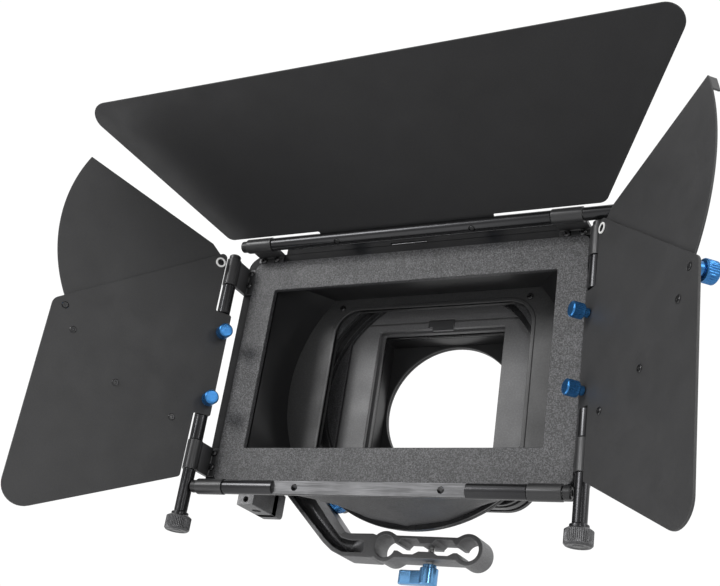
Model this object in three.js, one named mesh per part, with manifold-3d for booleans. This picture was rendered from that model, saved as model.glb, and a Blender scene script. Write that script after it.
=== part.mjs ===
// Swing-away matte box (compendium lens hood) for twin 15 mm support rods.
// Millimetres. +X to the hood's right hand seen from the subject, +Y rearwards
// (towards the camera body), +Z up. The optical axis runs along Y.
// Origin: the middle of the rod clamp's front face, half way between the rods.
import * as THREE from "three";
import { mergeVertices } from "three/addons/utils/BufferGeometryUtils.js";
import Module from "manifold-3d";

const wasm = await Module();
wasm.setup();

// ---------------------------------------------------------------- dimensions
// Every dimension below is measured from the optical axis (x = 0, z = 0) and the
// front face of the hood (y = 0). The group at the end moves the origin.
const GAP = 0.3;                       // clearance between neighbouring pieces

const ROD_R = 7.6, ROD_X = 30, ROD_Z = -100.3;      // 15 mm rods, 60 mm apart
const CLAMP_Y0 = 80.5, CLAMP_Y1 = 101.5;            // clamp thickness along the rods

const OPEN_X = 103, OPEN_Z = 58;                    // half sizes of the 16:9 opening
const FACE_X = 122.5, FACE_Z = 80.5, FACE_T = 3;    // raised face
const RIM_X = 131, RIM_Z = 88, RIM_Y1 = 7;        // rim that carries the hinges
const CAV_X = 104.8, CAV_Z = 68.8;                  // cavity just behind the lip
const HOOD_Y1 = 46;                                 // end of the tapering hood
const SIDE_R = 103.5, FLAT_Z = 68.3;                // liner section at its back end
const AP_Y0 = 43, AP_Y1 = 45.6, AP_X = 73.4, AP_Z = 59.1, AP_R = 82.5;
const HOLE_R = 83;                                  // hole in the hood's back wall
const FIXRING_R = 97, STAGE_RING_R = 95.8, STAGE_IN_R = 79;
const HOUSE_Y0 = 58.3, HOUSE_Y1 = 79.7, HOUSE_H = 75.8, HOUSE_CORNER = 20;
const FLANGE_R = 86;                                // round flange on the front of the housing
const TUNNEL = 50.5, TUNNEL_OUT = 58, TUNNEL_Y1 = 93, TUNNEL_BACK = 95;   // square tunnel behind the trays, and its back wall
const TRAY_W = 70, TRAY_H = 60, TRAY_TOP = 70, TRAY_T = 7.2;       // 4 x 4 inch filter trays
const TRAY_Y = [61.7, 69.3];
const WIN_X = 47.7, WIN_Z = 50.4;                   // clear window of a tray
const LENS_R = 49.1, LENS_OUT_R = 60, LENS_Y1 = 98;

const HY = -14;                                     // hinge axes stand this far forward
const HX = 132.2, HZ_TOP = 87, HZ_BOT = -89;
const BARREL_R = 5.1, BORE_R = 3.4, JOURNAL_R = 3, BAR_R = 4.5, FLAT_D = 1.5;
const BX0 = 102, BX1 = 122;                         // barrels of the top and bottom hinges
const BZT = [56.7, 76.5], BZB = [-77.7, -58];       // barrels of the side hinges
const CAP_R = 4.1, SHAFT_R = 4.3, SHAFT_L = 29.5, KNOB_R = 8.2, KNOB_L = 11;

const TOP_ANG = 29, LEFT_ANG = 34.9, RIGHT_ANG = 43.5;  // flag angles from straight ahead
const PLATE_T = 1.5;
const SCREW_X = 49.2;                               // top and bottom flag screws
const SCREW_Z = [18.4, -30.2];                      // side flag screws
const SEAT_Z = [-41, 35];                           // milled seat of the side bars
const PIVOT = [11, 70];                             // fan pivot in a side flag (s, z)
const FAN_R = 114, LOCK_R = 116.3, LOCK_A = -34.6, RIVET_R = 118.4, RIVET_A = [-42.9, -64.1, -85.2];

const SW_X = -123.5, SW_Y = 60;                     // swing-away pin
const LOCK_X = -74.3, LOCK_Z = -69.4;               // swing lock knob

const D = Math.PI / 180;

// ---------------------------------------------------------------- geometry helpers
function toSolid(geo) {
  const g = geo.clone();
  g.deleteAttribute("normal"); g.deleteAttribute("uv");
  const m = mergeVertices(g, 1e-4);
  return new wasm.Manifold(new wasm.Mesh({
    numProp: 3,
    vertProperties: Float32Array.from(m.attributes.position.array),
    triVerts: Uint32Array.from(m.index.array),
  }));
}
function toGeometry(solid) {
  const m = solid.getMesh();
  const g = new THREE.BufferGeometry();
  g.setAttribute("position", new THREE.BufferAttribute(Float32Array.from(m.vertProperties), 3));
  g.setIndex(new THREE.BufferAttribute(Uint32Array.from(m.triVerts), 1));
  g.computeVertexNormals();
  return g;
}
const V2 = (p) => new THREE.Vector2(p[0], p[1]);
function extrude(points, depth, holes = []) {
  const shape = new THREE.Shape(points.map(V2));
  for (const h of holes) shape.holes.push(new THREE.Path(h.map(V2)));
  return new THREE.ExtrudeGeometry(shape, { depth, bevelEnabled: false, steps: 1 });
}
// prisms along each axis; the outline is given in (x, y), (x, z) or (y, z)
function alongZ(pts, z0, z1, holes) { const g = extrude(pts, z1 - z0, holes); g.translate(0, 0, z0); return toSolid(g); }
function alongY(pts, y0, y1, holes) { const g = extrude(pts, y1 - y0, holes); g.rotateX(Math.PI / 2); g.translate(0, y1, 0); return toSolid(g); }
function alongX(pts, x0, x1, holes) {
  const g = extrude(pts, x1 - x0, holes);
  g.applyMatrix4(new THREE.Matrix4().makeBasis(new THREE.Vector3(0, 1, 0), new THREE.Vector3(0, 0, 1), new THREE.Vector3(1, 0, 0)));
  g.translate(x0, 0, 0); return toSolid(g);
}
function circle(r, n = 24, cx = 0, cy = 0, a0 = 0) {
  const p = [];
  n = n === 6 ? 6 : Math.min(n, r < 2.5 ? 10 : r < 5.5 ? 16 : r < 9 ? 20 : r < 15 ? 24 : 48);
  for (let i = 0; i < n; i++) { const a = a0 + (2 * Math.PI * i) / n; p.push([cx + r * Math.cos(a), cy + r * Math.sin(a)]); }
  return p;
}
function rect(x0, y0, x1, y1) { return [[x0, y0], [x1, y0], [x1, y1], [x0, y1]]; }
// polygon with each corner rounded to its own radius
function rounded(corners, radii, n = 4) {
  const out = [], N = corners.length;
  for (let i = 0; i < N; i++) {
    const p = corners[i], a = corners[(i + N - 1) % N], b = corners[(i + 1) % N];
    const r = Array.isArray(radii) ? radii[i] : radii;
    if (!r) { out.push(p); continue; }
    const u = [a[0] - p[0], a[1] - p[1]], v = [b[0] - p[0], b[1] - p[1]];
    const lu = Math.hypot(...u), lv = Math.hypot(...v);
    u[0] /= lu; u[1] /= lu; v[0] /= lv; v[1] /= lv;
    const half = Math.acos(Math.max(-1, Math.min(1, u[0] * v[0] + u[1] * v[1]))) / 2;
    const t = Math.min(r / Math.tan(half), lu * 0.49, lv * 0.49);
    const s = [p[0] + u[0] * t, p[1] + u[1] * t], e = [p[0] + v[0] * t, p[1] + v[1] * t];
    for (let k = 0; k <= n; k++) {          // quadratic arc through the corner, close to a circle
      const q = k / n, w = 1 - q, c = 0.88;
      const m = [p[0] * c + (s[0] + e[0]) / 2 * (1 - c), p[1] * c + (s[1] + e[1]) / 2 * (1 - c)];
      out.push([w * w * s[0] + 2 * w * q * m[0] + q * q * e[0], w * w * s[1] + 2 * w * q * m[1] + q * q * e[1]]);
    }
  }
  return out;
}
const rrect = (hx, hy, r, n = 4) => rounded([[-hx, -hy], [hx, -hy], [hx, hy], [-hx, hy]], r, n);
function mirrorQuarter(q) {                 // quarter outline from +x axis to -z axis, mirrored to a full loop
  const a = q.map((p) => [p[0], p[1]]);
  const lowLeft = [...a].reverse().slice(1).map((p) => [-p[0], p[1]]);
  const half = [...a, ...lowLeft];
  const top = [...half].reverse().slice(1, -1).map((p) => [p[0], -p[1]]);
  return [...half, ...top];
}
// solid between two outlines of equal count in the planes y0 and y1
function loftY(A, y0, B, y1) {
  const n = A.length, pos = [], idx = [];
  for (const p of A) pos.push(p[0], y0, p[1]);
  for (const p of B) pos.push(p[0], y1, p[1]);
  const area = THREE.ShapeUtils.area(A.map(V2));
  for (let i = 0; i < n; i++) {
    const j = (i + 1) % n;
    if (area > 0) idx.push(i, i + n, j, j, i + n, j + n); else idx.push(i, j, i + n, j, j + n, i + n);
  }
  for (const t of THREE.ShapeUtils.triangulateShape(A.map(V2), [])) area > 0 ? idx.push(t[0], t[1], t[2]) : idx.push(t[0], t[1], t[2]);
  for (const t of THREE.ShapeUtils.triangulateShape(B.map(V2), [])) idx.push(t[0] + n, t[2] + n, t[1] + n);
  const g = new THREE.BufferGeometry();
  g.setAttribute("position", new THREE.Float32BufferAttribute(pos, 3));
  g.setIndex(idx);
  return toSolid(g);
}
// turned piece about the Y axis through (cx, cz): profile of (radius, y) closed on itself
function turnedY(profile, n) {
  const g = new THREE.LatheGeometry([...profile, profile[0]].map((p) => new THREE.Vector2(p[0], p[1])), n);
  return toSolid(g);
}
function place(solid, matrix) { const g = toGeometry(solid); g.applyMatrix4(matrix); return toSolid(g); }
const union = (...s) => s.reduce((a, b) => a.add(b));

// ---------------------------------------------------------------- scene graph
const group = new THREE.Group();
group.name = "matte_box";
group.position.set(0, -CLAMP_Y0, -ROD_Z);
const M = (color, roughness, metalness) => new THREE.MeshStandardMaterial({ color, roughness, metalness });
const BLACK_ABS = M(0x2b2c2e, 0.7, 0), LINER = M(0x1d1e20, 0.5, 0), FLAG = M(0x26272a, 0.5, 0.2);
const BAR = M(0x55575a, 0.3, 0.8), ARM = M(0x8d8f92, 0.45, 0.6), BLUE = M(0x1b78c8, 0.3, 0.8), STEEL = M(0xb5b5b0, 0.3, 1);
const TRIM = M(0x2a2b2d, 0.35, 0.6);
function add(name, solid, material) {
  const mesh = new THREE.Mesh(toGeometry(solid), material);
  mesh.name = name;
  group.add(mesh);
}

// ================================================================ support (fixed on the rods)
{
  const armOuter = [
    [-36, -91.8], [-58.5, -92.4], [-61.5, -91.6], [-83.4, -68.1], [-104, -45.8], [-104, -31],
    [-131.5, -31], [-131.5, -50.3], [-112, -68.2], [-78, -99.6], [-70.5, -105], [-62, -108.4], [-36, -108.9],
  ];
  let arm = alongY(armOuter.slice().reverse(), CLAMP_Y0, CLAMP_Y1);
  // twin rod clamp: two bosses and a bridge
  const boss = (x) => alongY(circle(10.5, 36, x, ROD_Z), CLAMP_Y0, CLAMP_Y1);
  arm = union(arm, boss(-ROD_X), boss(ROD_X), alongY(rect(-37, -107.6, 37, -92.6), CLAMP_Y0, CLAMP_Y1));
  // top of the arm comes forward to meet the hinge block
  arm = arm.add(alongY(rect(-131.5, -62, -112, -31), 76.7, CLAMP_Y0 + 1));
  for (const x of [-ROD_X, ROD_X]) arm = arm.subtract(alongY(circle(ROD_R, 36, x, ROD_Z), CLAMP_Y0 - 1, CLAMP_Y1 + 1));
  // the rear of the arm's inner edge is cut back
  arm = arm.subtract(alongY([[-60, -92.4], [-84.1, -66.5], [-89.5, -66.5], [-70, -87.4], [-67.5, -92.4]].reverse(), 92.5, CLAMP_Y1 + 1));
  // relief for the head of the swing lock knob, and the lug behind it
  arm = arm.subtract(alongY(circle(8, 28, LOCK_X, LOCK_Z), 84, 92.5));
  arm = arm.add(union(alongY(circle(4.8, 20, LOCK_X, LOCK_Z), 92.5, 98.3), alongY(rect(-93, LOCK_Z - 3.4, LOCK_X, LOCK_Z + 4.6), 92.5, 98.3)));
  // clamping slit that opens into a pocket on either side of the screw
  arm = arm.subtract(alongY(rect(-24, ROD_Z - 2.5, 24, ROD_Z + 2.5), CLAMP_Y0 - 1, CLAMP_Y1 + 1));
  for (const s of [-1, 1]) {
    const c = 12.6 * s;
    const hx = [[c - 7.7, ROD_Z - 2.5], [c - 3.6, ROD_Z - 4.6], [c + 3.6, ROD_Z - 4.6], [c + 7.7, ROD_Z - 2.5],
      [c + 7.7, ROD_Z + 3.4], [c + 5.6, ROD_Z + 5.6], [c - 5.6, ROD_Z + 5.6], [c - 7.7, ROD_Z + 3.4]];
    arm = arm.subtract(alongY(hx, CLAMP_Y0 - 1, CLAMP_Y1 + 1));
  }
  arm = arm.subtract(alongZ(circle(2.6, 12, 0, 91), -112, -95.4));
  arm = arm.subtract(alongY(circle(2.6, 12, LOCK_X, LOCK_Z), 92, 99));
  // recessed channel down the front of the arm
  const chan = [[-127.5, -48], [-114.5, -42.5], [-75.2, -85.3], [-64.5, -95.6], [-57, -97.2], [-46, -97.2], [-46, -105], [-61.8, -105.3], [-69.5, -102], [-77, -96.5], [-110.5, -66]];
  arm = arm.subtract(alongY(rounded(chan, [4, 4, 3, 6, 0, 1.5, 1.5, 6, 6, 3, 3], 3).reverse(), CLAMP_Y0 - 6, CLAMP_Y0 + 4.5)
    .subtract(alongY(rect(-132, -63, -100, -30), CLAMP_Y0 - 7, CLAMP_Y0 + 5)));
  add("support_arm", arm, ARM);
}
{
  const s = union(
    alongZ(circle(2.2, 12, 0, 91), -110, -96.2),
    alongZ(circle(4.7, 20, 0, 91), -111.8, -109.2),
    alongZ(rounded([[-5.6, 87], [5.6, 85.2], [5.6, 96.8], [-5.6, 95]], 3, 3), -111.6, -111.4),
    alongZ(circle(6.3, 24, 0, 91), -123.5, -111.5),
    alongZ(rounded([[-21.5, 88.6], [-2, 87.4], [-2, 94.6], [-21.5, 93.4]], [2, 0, 0, 2], 3), -123.2, -113.6));
  add("clamp_lever", s, BLUE);
}
{
  let b = alongZ(rounded([[-131, 45], [-117, 45], [-117, 76.4], [-131, 76.4]], [0, 1.2, 0, 0], 2), -84.3, -31.3);
  b = b.add(alongX(rounded([[70, -84.3], [85.3, -84.3], [85.3, -66.3], [70, -66.3]], [0, 3.5, 1, 0]), -131, -117));
  b = b.subtract(alongZ(circle(3.3, 20, SW_X, SW_Y), -86, -30));
  b = b.subtract(alongY(circle(2.1, 14, -124, -80.2), 44, 57));
  add("swing_hinge_block", b, ARM);
  add("swing_pin", alongZ(circle(3, 20, SW_X, SW_Y), -81.5, -3), STEEL);
  const k = union(
    alongY(circle(7, 28, LOCK_X, LOCK_Z), 84.4, 91.2),
    alongY(circle(4.5, 16, LOCK_X, LOCK_Z), 91, 92.2),
    alongY(circle(2.2, 12, LOCK_X, LOCK_Z), 91, 101));
  add("swing_lock_knob", k, BLUE);
}

// ================================================================ hood
{
  let lug = union(
    alongZ(circle(7, 28, SW_X, SW_Y), -30.7, -8),
    alongZ([[-128, 48.9], [-98.6, 48.9], [-98.6, 55.2], [-117.5, 56.5], [-117.5, 60], [-130, 60]], -30.7, -8));
  lug = lug.subtract(alongZ(circle(3.3, 20, SW_X, SW_Y), -32, -7));
  add("swing_lug", lug, TRIM);
}
{
  let f = union(
    alongY(rrect(FACE_X, FACE_Z, 5), 0, FACE_T + 0.5),
    alongY(rrect(RIM_X, RIM_Z, 11, 5), FACE_T, RIM_Y1));
  f = f.subtract(alongY(rrect(OPEN_X, OPEN_Z, 0.8, 2), -1, FACE_T + 0.01));
  f = f.subtract(alongY(rrect(CAV_X, CAV_Z, 1.5, 2), FACE_T - 0.2, RIM_Y1 + 1));
  f = f.add(alongY(rect(-101, 87, 101, 93), 3, RIM_Y1));
  f = f.subtract(alongY(rect(-18, 87.9, 9, 89.1), 2, 4.2));
  add("front_frame", f, BLACK_ABS);
}
{
  // side walls start straight and vertical at the frame and end on a circular arc
  const m = 10, ring = (r, z, front) => {
    const p = [];
    for (let i = 0; i <= m; i++) { const zz = -z + (2 * z * i) / m; p.push([front ? r : Math.sqrt(r * r - zz * zz), zz]); }
    for (let i = m; i >= 0; i--) { const zz = -z + (2 * z * i) / m; p.push([-(front ? r : Math.sqrt(r * r - zz * zz)), zz]); }
    return p;
  };
  const inner = loftY(ring(CAV_X - 0.5, FLAT_Z + 0.3, true), RIM_Y1 - 1, ring(SIDE_R, FLAT_Z, false), AP_Y0 + 0.5);
  const outer = loftY(ring(CAV_X + 1.4, FLAT_Z + 2.1, true), RIM_Y1 + GAP, ring(SIDE_R + 1.8, FLAT_Z + 2, false), AP_Y0 - GAP);
  add("hood_liner", outer.subtract(inner), LINER);
}
{
  const front = [[126, 0], [126, -16], [126, -32], [126, -48], [126, -62], [126, -76], [119, -84], [80, -84.3], [50, -84.6], [0, -84.6]];
  const back = [[108, 0], [106.8, -16], [103.1, -32], [96.8, -48], [88.4, -62], [80.5, -72.8], [59.8, -73.8], [45.5, -83], [28.5, -90.4], [0, -94.4]];
  const inset = (q, d) => q.map((p, i) => {
    const a = q[Math.max(0, i - 1)], b = q[Math.min(q.length - 1, i + 1)];
    let n = [b[1] - a[1], -(b[0] - a[0])]; const l = Math.hypot(...n); n = [n[0] / l, n[1] / l];
    if (i === 0) n = [-1, 0]; if (i === q.length - 1) n = [0, 1];
    return [i === q.length - 1 ? 0 : p[0] + n[0] * d, i === 0 ? 0 : p[1] + n[1] * d];
  });
  const outer = loftY(mirrorQuarter(front), RIM_Y1 + GAP, mirrorQuarter(back), HOOD_Y1);
  const inner = loftY(mirrorQuarter(inset(front, 2.2)), RIM_Y1 - 1, mirrorQuarter(inset(back, 2.2)), HOOD_Y1 + 0.02);
  const wall = alongY(mirrorQuarter(back).reverse(), HOOD_Y1 - 0.01, 48.6).subtract(alongY(circle(HOLE_R, 64), 45, 50));
  add("hood_shell", outer.subtract(inner).add(wall), BLACK_ABS);
}
{
  const outline = [];
  const zc = 68, xc = Math.sqrt(103.1 ** 2 - zc ** 2), a1 = Math.atan2(zc, xc);
  for (let i = 0; i <= 12; i++) { const a = -a1 + (2 * a1 * i) / 12; outline.push([103.1 * Math.cos(a), 103.1 * Math.sin(a)]); }
  for (let i = 0; i <= 12; i++) { const a = Math.PI - a1 + (2 * a1 * i) / 12; outline.push([103.1 * Math.cos(a), 103.1 * Math.sin(a)]); }
  let p = alongY(outline, AP_Y0, AP_Y1);
  let hole = alongY(rect(-AP_X, -AP_Z, AP_X, AP_Z), 42, 47).intersect(alongY(circle(AP_R, 72), 42, 47));
  p = p.subtract(hole);
  for (const sx of [-1, 1]) for (const sz of [-1, 1]) p = p.subtract(alongY(circle(1.9, 12, 70.8 * sx, 61.6 * sz), 42, 47));
  add("aperture_plate", p, LINER);
}
add("fixed_ring", turnedY([[HOLE_R, 48.9], [FIXRING_R, 48.9], [FIXRING_R, 50.9], [93.6, 51.5], [93.6, 53.4], [HOLE_R, 53.4]], 48), TRIM);

// ================================================================ rotating filter stage
add("stage_ring", turnedY([[STAGE_IN_R, 53.7], [93.4, 53.7], [STAGE_RING_R, 54.6], [STAGE_RING_R, 57], [94.6, 58], [STAGE_IN_R, 58]], 48), TRIM);
{
  let h = alongY(rrect(HOUSE_H, HOUSE_H, HOUSE_CORNER, 5), HOUSE_Y0, HOUSE_Y1);
  for (const y of [63.6, 72.2]) {                   // two grooves around the outside
    h = h.subtract(alongY(rrect(90, 90, 5), y, y + 3.4).subtract(alongY(rrect(HOUSE_H - 1.1, HOUSE_H - 1.1, HOUSE_CORNER - 1.1, 5), y - 1, y + 5)));
  }
  h = h.add(alongY(rrect(TUNNEL_OUT, TUNNEL_OUT, 14, 5), HOUSE_Y1 - 0.1, TUNNEL_BACK));
  h = h.add(alongY(circle(FLANGE_R, 64), HOUSE_Y0, 61.3));
  h = h.subtract(alongY(rect(-TRAY_W - 0.4, -60.4, TRAY_W + 0.4, 90), 61.3, 76.9));
  h = h.subtract(alongY(circle(STAGE_IN_R, 64), 57, 61.5).intersect(alongY(rect(-68, -80, 68, 72), 56, 62)));
  h = h.subtract(alongY(rect(-TUNNEL, -TUNNEL, TUNNEL, TUNNEL), 76, TUNNEL_Y1));
  h = h.subtract(alongY(circle(LENS_R, 48), TUNNEL_Y1 - 1, TUNNEL_BACK + 1));
  add("stage_housing", h, BLACK_ABS);
}
TRAY_Y.forEach((y, k) => {
  const out = rounded([[-TRAY_W, -TRAY_H], [TRAY_W, -TRAY_H], [TRAY_W, TRAY_TOP], [24, TRAY_TOP], [21, 97], [-21, 97], [-24, TRAY_TOP], [-TRAY_W, TRAY_TOP]], [3, 3, 3, 3, 4, 4, 3, 3], 2);
  let t = alongY(out, y, y + TRAY_T, [rrect(WIN_X, WIN_Z, 2.2, 2).reverse()]);
  t = t.subtract(alongY(rrect(51, 52, 2, 2), y + 2.6, y + TRAY_T + 1));   // rebate for a 4 x 4 inch glass
  t = t.subtract(alongY(rect(-TRAY_W - 1, 54.6, TRAY_W + 1, 56), y - 1, y + 1.8));   // groove across the front of the head
  if (k === 0) t = t.subtract(alongY(rect(-10, 49, 10, 57), y - 1, y + 1.8));          // seat of the clip
  add(k === 0 ? "filter_tray_front" : "filter_tray_rear", t, TRIM);
});
add("filter_clip", union(alongY(rect(-9.5, 51, 9.5, 56.6), 61.9, 63.2), alongY(rect(-6.5, 48.6, 9.5, 51.5), 61.9, 62.7)), BAR);
add("lens_adapter", turnedY([[LENS_R, TUNNEL_BACK + GAP], [59, TUNNEL_BACK + GAP], [LENS_OUT_R, 96], [LENS_OUT_R, 97.2], [59, LENS_Y1], [LENS_R, LENS_Y1]], 48), TRIM);

// ================================================================ hinges
// leaf on the rim, web, and a bored barrel on the hinge axis
function sideBracket(sg, z) {
  const X = sg * HX;
  let b = alongZ(circle(BARREL_R, 28, X, HY), z[0], z[1]);
  const o = X - sg * 1.4, i = X - sg * 4.2;
  const web = [[o, HY + 2], [i, HY + 2], [i, 1.2], [sg * 123.4, 1.2], [sg * 123.4, 2.7], [o, 2.7]];
  b = b.add(alongZ(THREE.ShapeUtils.area(web.map(V2)) > 0 ? web : web.slice().reverse(), z[0], z[1]));
  return b.subtract(alongZ(circle(BORE_R, 20, X, HY), z[0] - 1, z[1] + 1));
}
function barBracket(sz, x) {
  const Z = sz > 0 ? HZ_TOP : HZ_BOT, e = sz * 88, i = sz * 81.2, w = sz * 85.4;
  let b = alongX(circle(BARREL_R, 28, HY, Z), x[0], x[1]);
  const web = [[HY + 2, w], [1.2, w], [1.2, i], [2.7, i], [2.7, e], [HY + 2, e]];
  const area = THREE.ShapeUtils.area(web.map(V2));
  b = b.add(alongX(area > 0 ? web : web.slice().reverse(), x[0], x[1]));
  return b.subtract(alongX(circle(BORE_R, 20, HY, Z), x[0] - 1, x[1] + 1));
}
add("top_bracket_left", barBracket(1, [-BX1, -BX0]), TRIM);
add("top_bracket_right", barBracket(1, [BX0, BX1]), TRIM);
add("bottom_bracket_left", barBracket(-1, [-BX1, -BX0]), TRIM);
add("bottom_bracket_right", barBracket(-1, [BX0, BX1]), TRIM);
add("left_bracket_upper", sideBracket(-1, BZT), TRIM);
add("left_bracket_lower", sideBracket(-1, BZB), TRIM);
add("right_bracket_upper", sideBracket(1, BZT), TRIM);
add("right_bracket_lower", sideBracket(1, BZB), TRIM);

// directions of a flag: s away from its hinge in the plate, n out of the hood
const flagFrame = {
  top: { s: [0, -Math.cos(TOP_ANG * D), Math.sin(TOP_ANG * D)], n: [0, Math.sin(TOP_ANG * D), Math.cos(TOP_ANG * D)], o: [0, HY, HZ_TOP] },
  left: { s: [-Math.sin(LEFT_ANG * D), -Math.cos(LEFT_ANG * D), 0], n: [-Math.cos(LEFT_ANG * D), Math.sin(LEFT_ANG * D), 0], o: [-HX, HY, 0] },
  right: { s: [Math.sin(RIGHT_ANG * D), -Math.cos(RIGHT_ANG * D), 0], n: [Math.cos(RIGHT_ANG * D), Math.sin(RIGHT_ANG * D), 0], o: [HX, HY, 0] },
};
const V3 = (a) => new THREE.Vector3(...a);
// prism on a flag: outline (a, b), a along s and b along the hinge axis direction, between offsets n0 and n1
function onFlag(which, pts, n0, n1, holes = []) {
  const f = flagFrame[which], s = V3(f.s), n = V3(f.n), up = which === "top" ? V3([1, 0, 0]) : V3([0, 0, 1]);
  const w = new THREE.Vector3().crossVectors(s, up);            // plus or minus n
  const flip = w.dot(n) < 0;
  const m = new THREE.Matrix4().makeBasis(s, up, w).setPosition(V3(f.o));
  const ccw = THREE.ShapeUtils.area(pts.map(V2)) > 0 ? pts : pts.slice().reverse();
  const g = extrude(ccw, n1 - n0, holes);
  g.translate(0, 0, flip ? -n1 : n0);
  g.applyMatrix4(m);
  return toSolid(g);
}

// bars: journals in the barrels, round bar between them, a milled seat in the middle
function journalBarX(Z, seatX, seatDir, holes) {
  let b = union(alongX(circle(JOURNAL_R, 20, HY, Z), -BX1, BX1), alongX(circle(BAR_R, 24, HY, Z), -BX0 + GAP, BX0 - GAP));
  return b;
}
{
  let b = journalBarX(HZ_TOP);
  b = b.subtract(onFlag("top", rect(-6, -65, 6, 65), FLAT_D, 8));
  for (const x of [-SCREW_X, SCREW_X]) b = b.subtract(onFlag("top", circle(2.2, 14, 0, x), -8, 8));
  add("top_bar", b, BAR);
}
{
  let b = journalBarX(HZ_BOT);
  b = b.subtract(alongX(rect(HY - 8, HZ_BOT - 6, HY - FLAT_D, HZ_BOT + 6), -65, 65));
  for (const x of [-SCREW_X, SCREW_X]) b = b.subtract(alongY(circle(2.2, 14, x, HZ_BOT), HY - 8, HY + 8));
  add("bottom_bar", b, BAR);
}
for (const [name, sg] of [["left", -1], ["right", 1]]) {
  let b = union(alongZ(circle(JOURNAL_R, 20, sg * HX, HY), BZB[0], BZT[1]), alongZ(circle(BAR_R, 24, sg * HX, HY), BZB[1] + GAP, BZT[0] - GAP));
  b = b.subtract(onFlag(name, rect(-6, SEAT_Z[0], 6, SEAT_Z[1]), -8, -FLAT_D));
  for (const z of SCREW_Z) b = b.subtract(onFlag(name, circle(2.2, 14, 0, z), -8, 8));
  add(name + "_bar", b, BAR);
}
// caps and friction knobs at the ends of the bars
add("top_cap", alongX(circle(CAP_R, 24, HY, HZ_TOP), -127, -BX1 - GAP), TRIM);
add("bottom_cap_left", alongX(circle(CAP_R, 24, HY, HZ_BOT), -127, -BX1 - GAP), TRIM);
add("bottom_cap_right", alongX(circle(CAP_R, 24, HY, HZ_BOT), BX1 + GAP, 127).subtract(alongX(circle(2, 6, HY, HZ_BOT), 125, 129)), TRIM);
for (const [name, sg] of [["left", -1], ["right", 1]]) {
  add(name + "_cap", alongZ(circle(CAP_R, 24, sg * HX, HY), BZT[1] + GAP, 80.4), TRIM);
  const z0 = BZB[0] - GAP;
  add(name + "_friction_knob", union(
    alongZ(circle(SHAFT_R, 24, sg * HX, HY), z0 - SHAFT_L, z0),
    alongZ(circle(5.6, 24, sg * HX, HY), z0 - SHAFT_L - 1.5, z0 - SHAFT_L + 0.8),
    alongZ(circle(KNOB_R, 32, sg * HX, HY), z0 - SHAFT_L - KNOB_L, z0 - SHAFT_L - 1)), TRIM);
}
{
  const x0 = BX1 + GAP;
  add("top_friction_knob", union(
    alongX(circle(SHAFT_R, 24, HY, HZ_TOP), x0, x0 + SHAFT_L),
    alongX(circle(5.6, 24, HY, HZ_TOP), x0 + SHAFT_L - 0.8, x0 + SHAFT_L + 1.5),
    alongX(circle(KNOB_R, 32, HY, HZ_TOP), x0 + SHAFT_L + 1, x0 + SHAFT_L + KNOB_L)), TRIM);
}

// ================================================================ flags
{
  // trapezoid with rounded corners and a tab that sits on the bar's seat
  const P = [[-5.2, -63.5], [5.6, -63.5], [5.6, -136.5], [124, -210.5], [124, 210.5], [5.6, 136.5], [5.6, 63.5], [-5.2, 63.5]];
  const pts = rounded(P, [1.5, 1.2, 7, 11, 11, 7, 1.2, 1.5], 4);
  let f = onFlag("top", pts, FLAT_D + GAP, FLAT_D + GAP + PLATE_T, []);
  for (const x of [-SCREW_X, SCREW_X]) f = f.subtract(onFlag("top", circle(2.4, 14, 0, x), 0, 6));
  add("top_flag", f, FLAG);
}
const polar = (r, a) => [PIVOT[0] + r * Math.cos(a * D), PIVOT[1] + r * Math.sin(a * D)];
const N1 = -(FLAT_D + GAP), N0 = N1 - PLATE_T;      // side flags lie on the inner side of the bars
const FAN0 = N1 + GAP, FAN1 = FAN0 + 1.2;           // fan plate against the outer side of the flag
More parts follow.
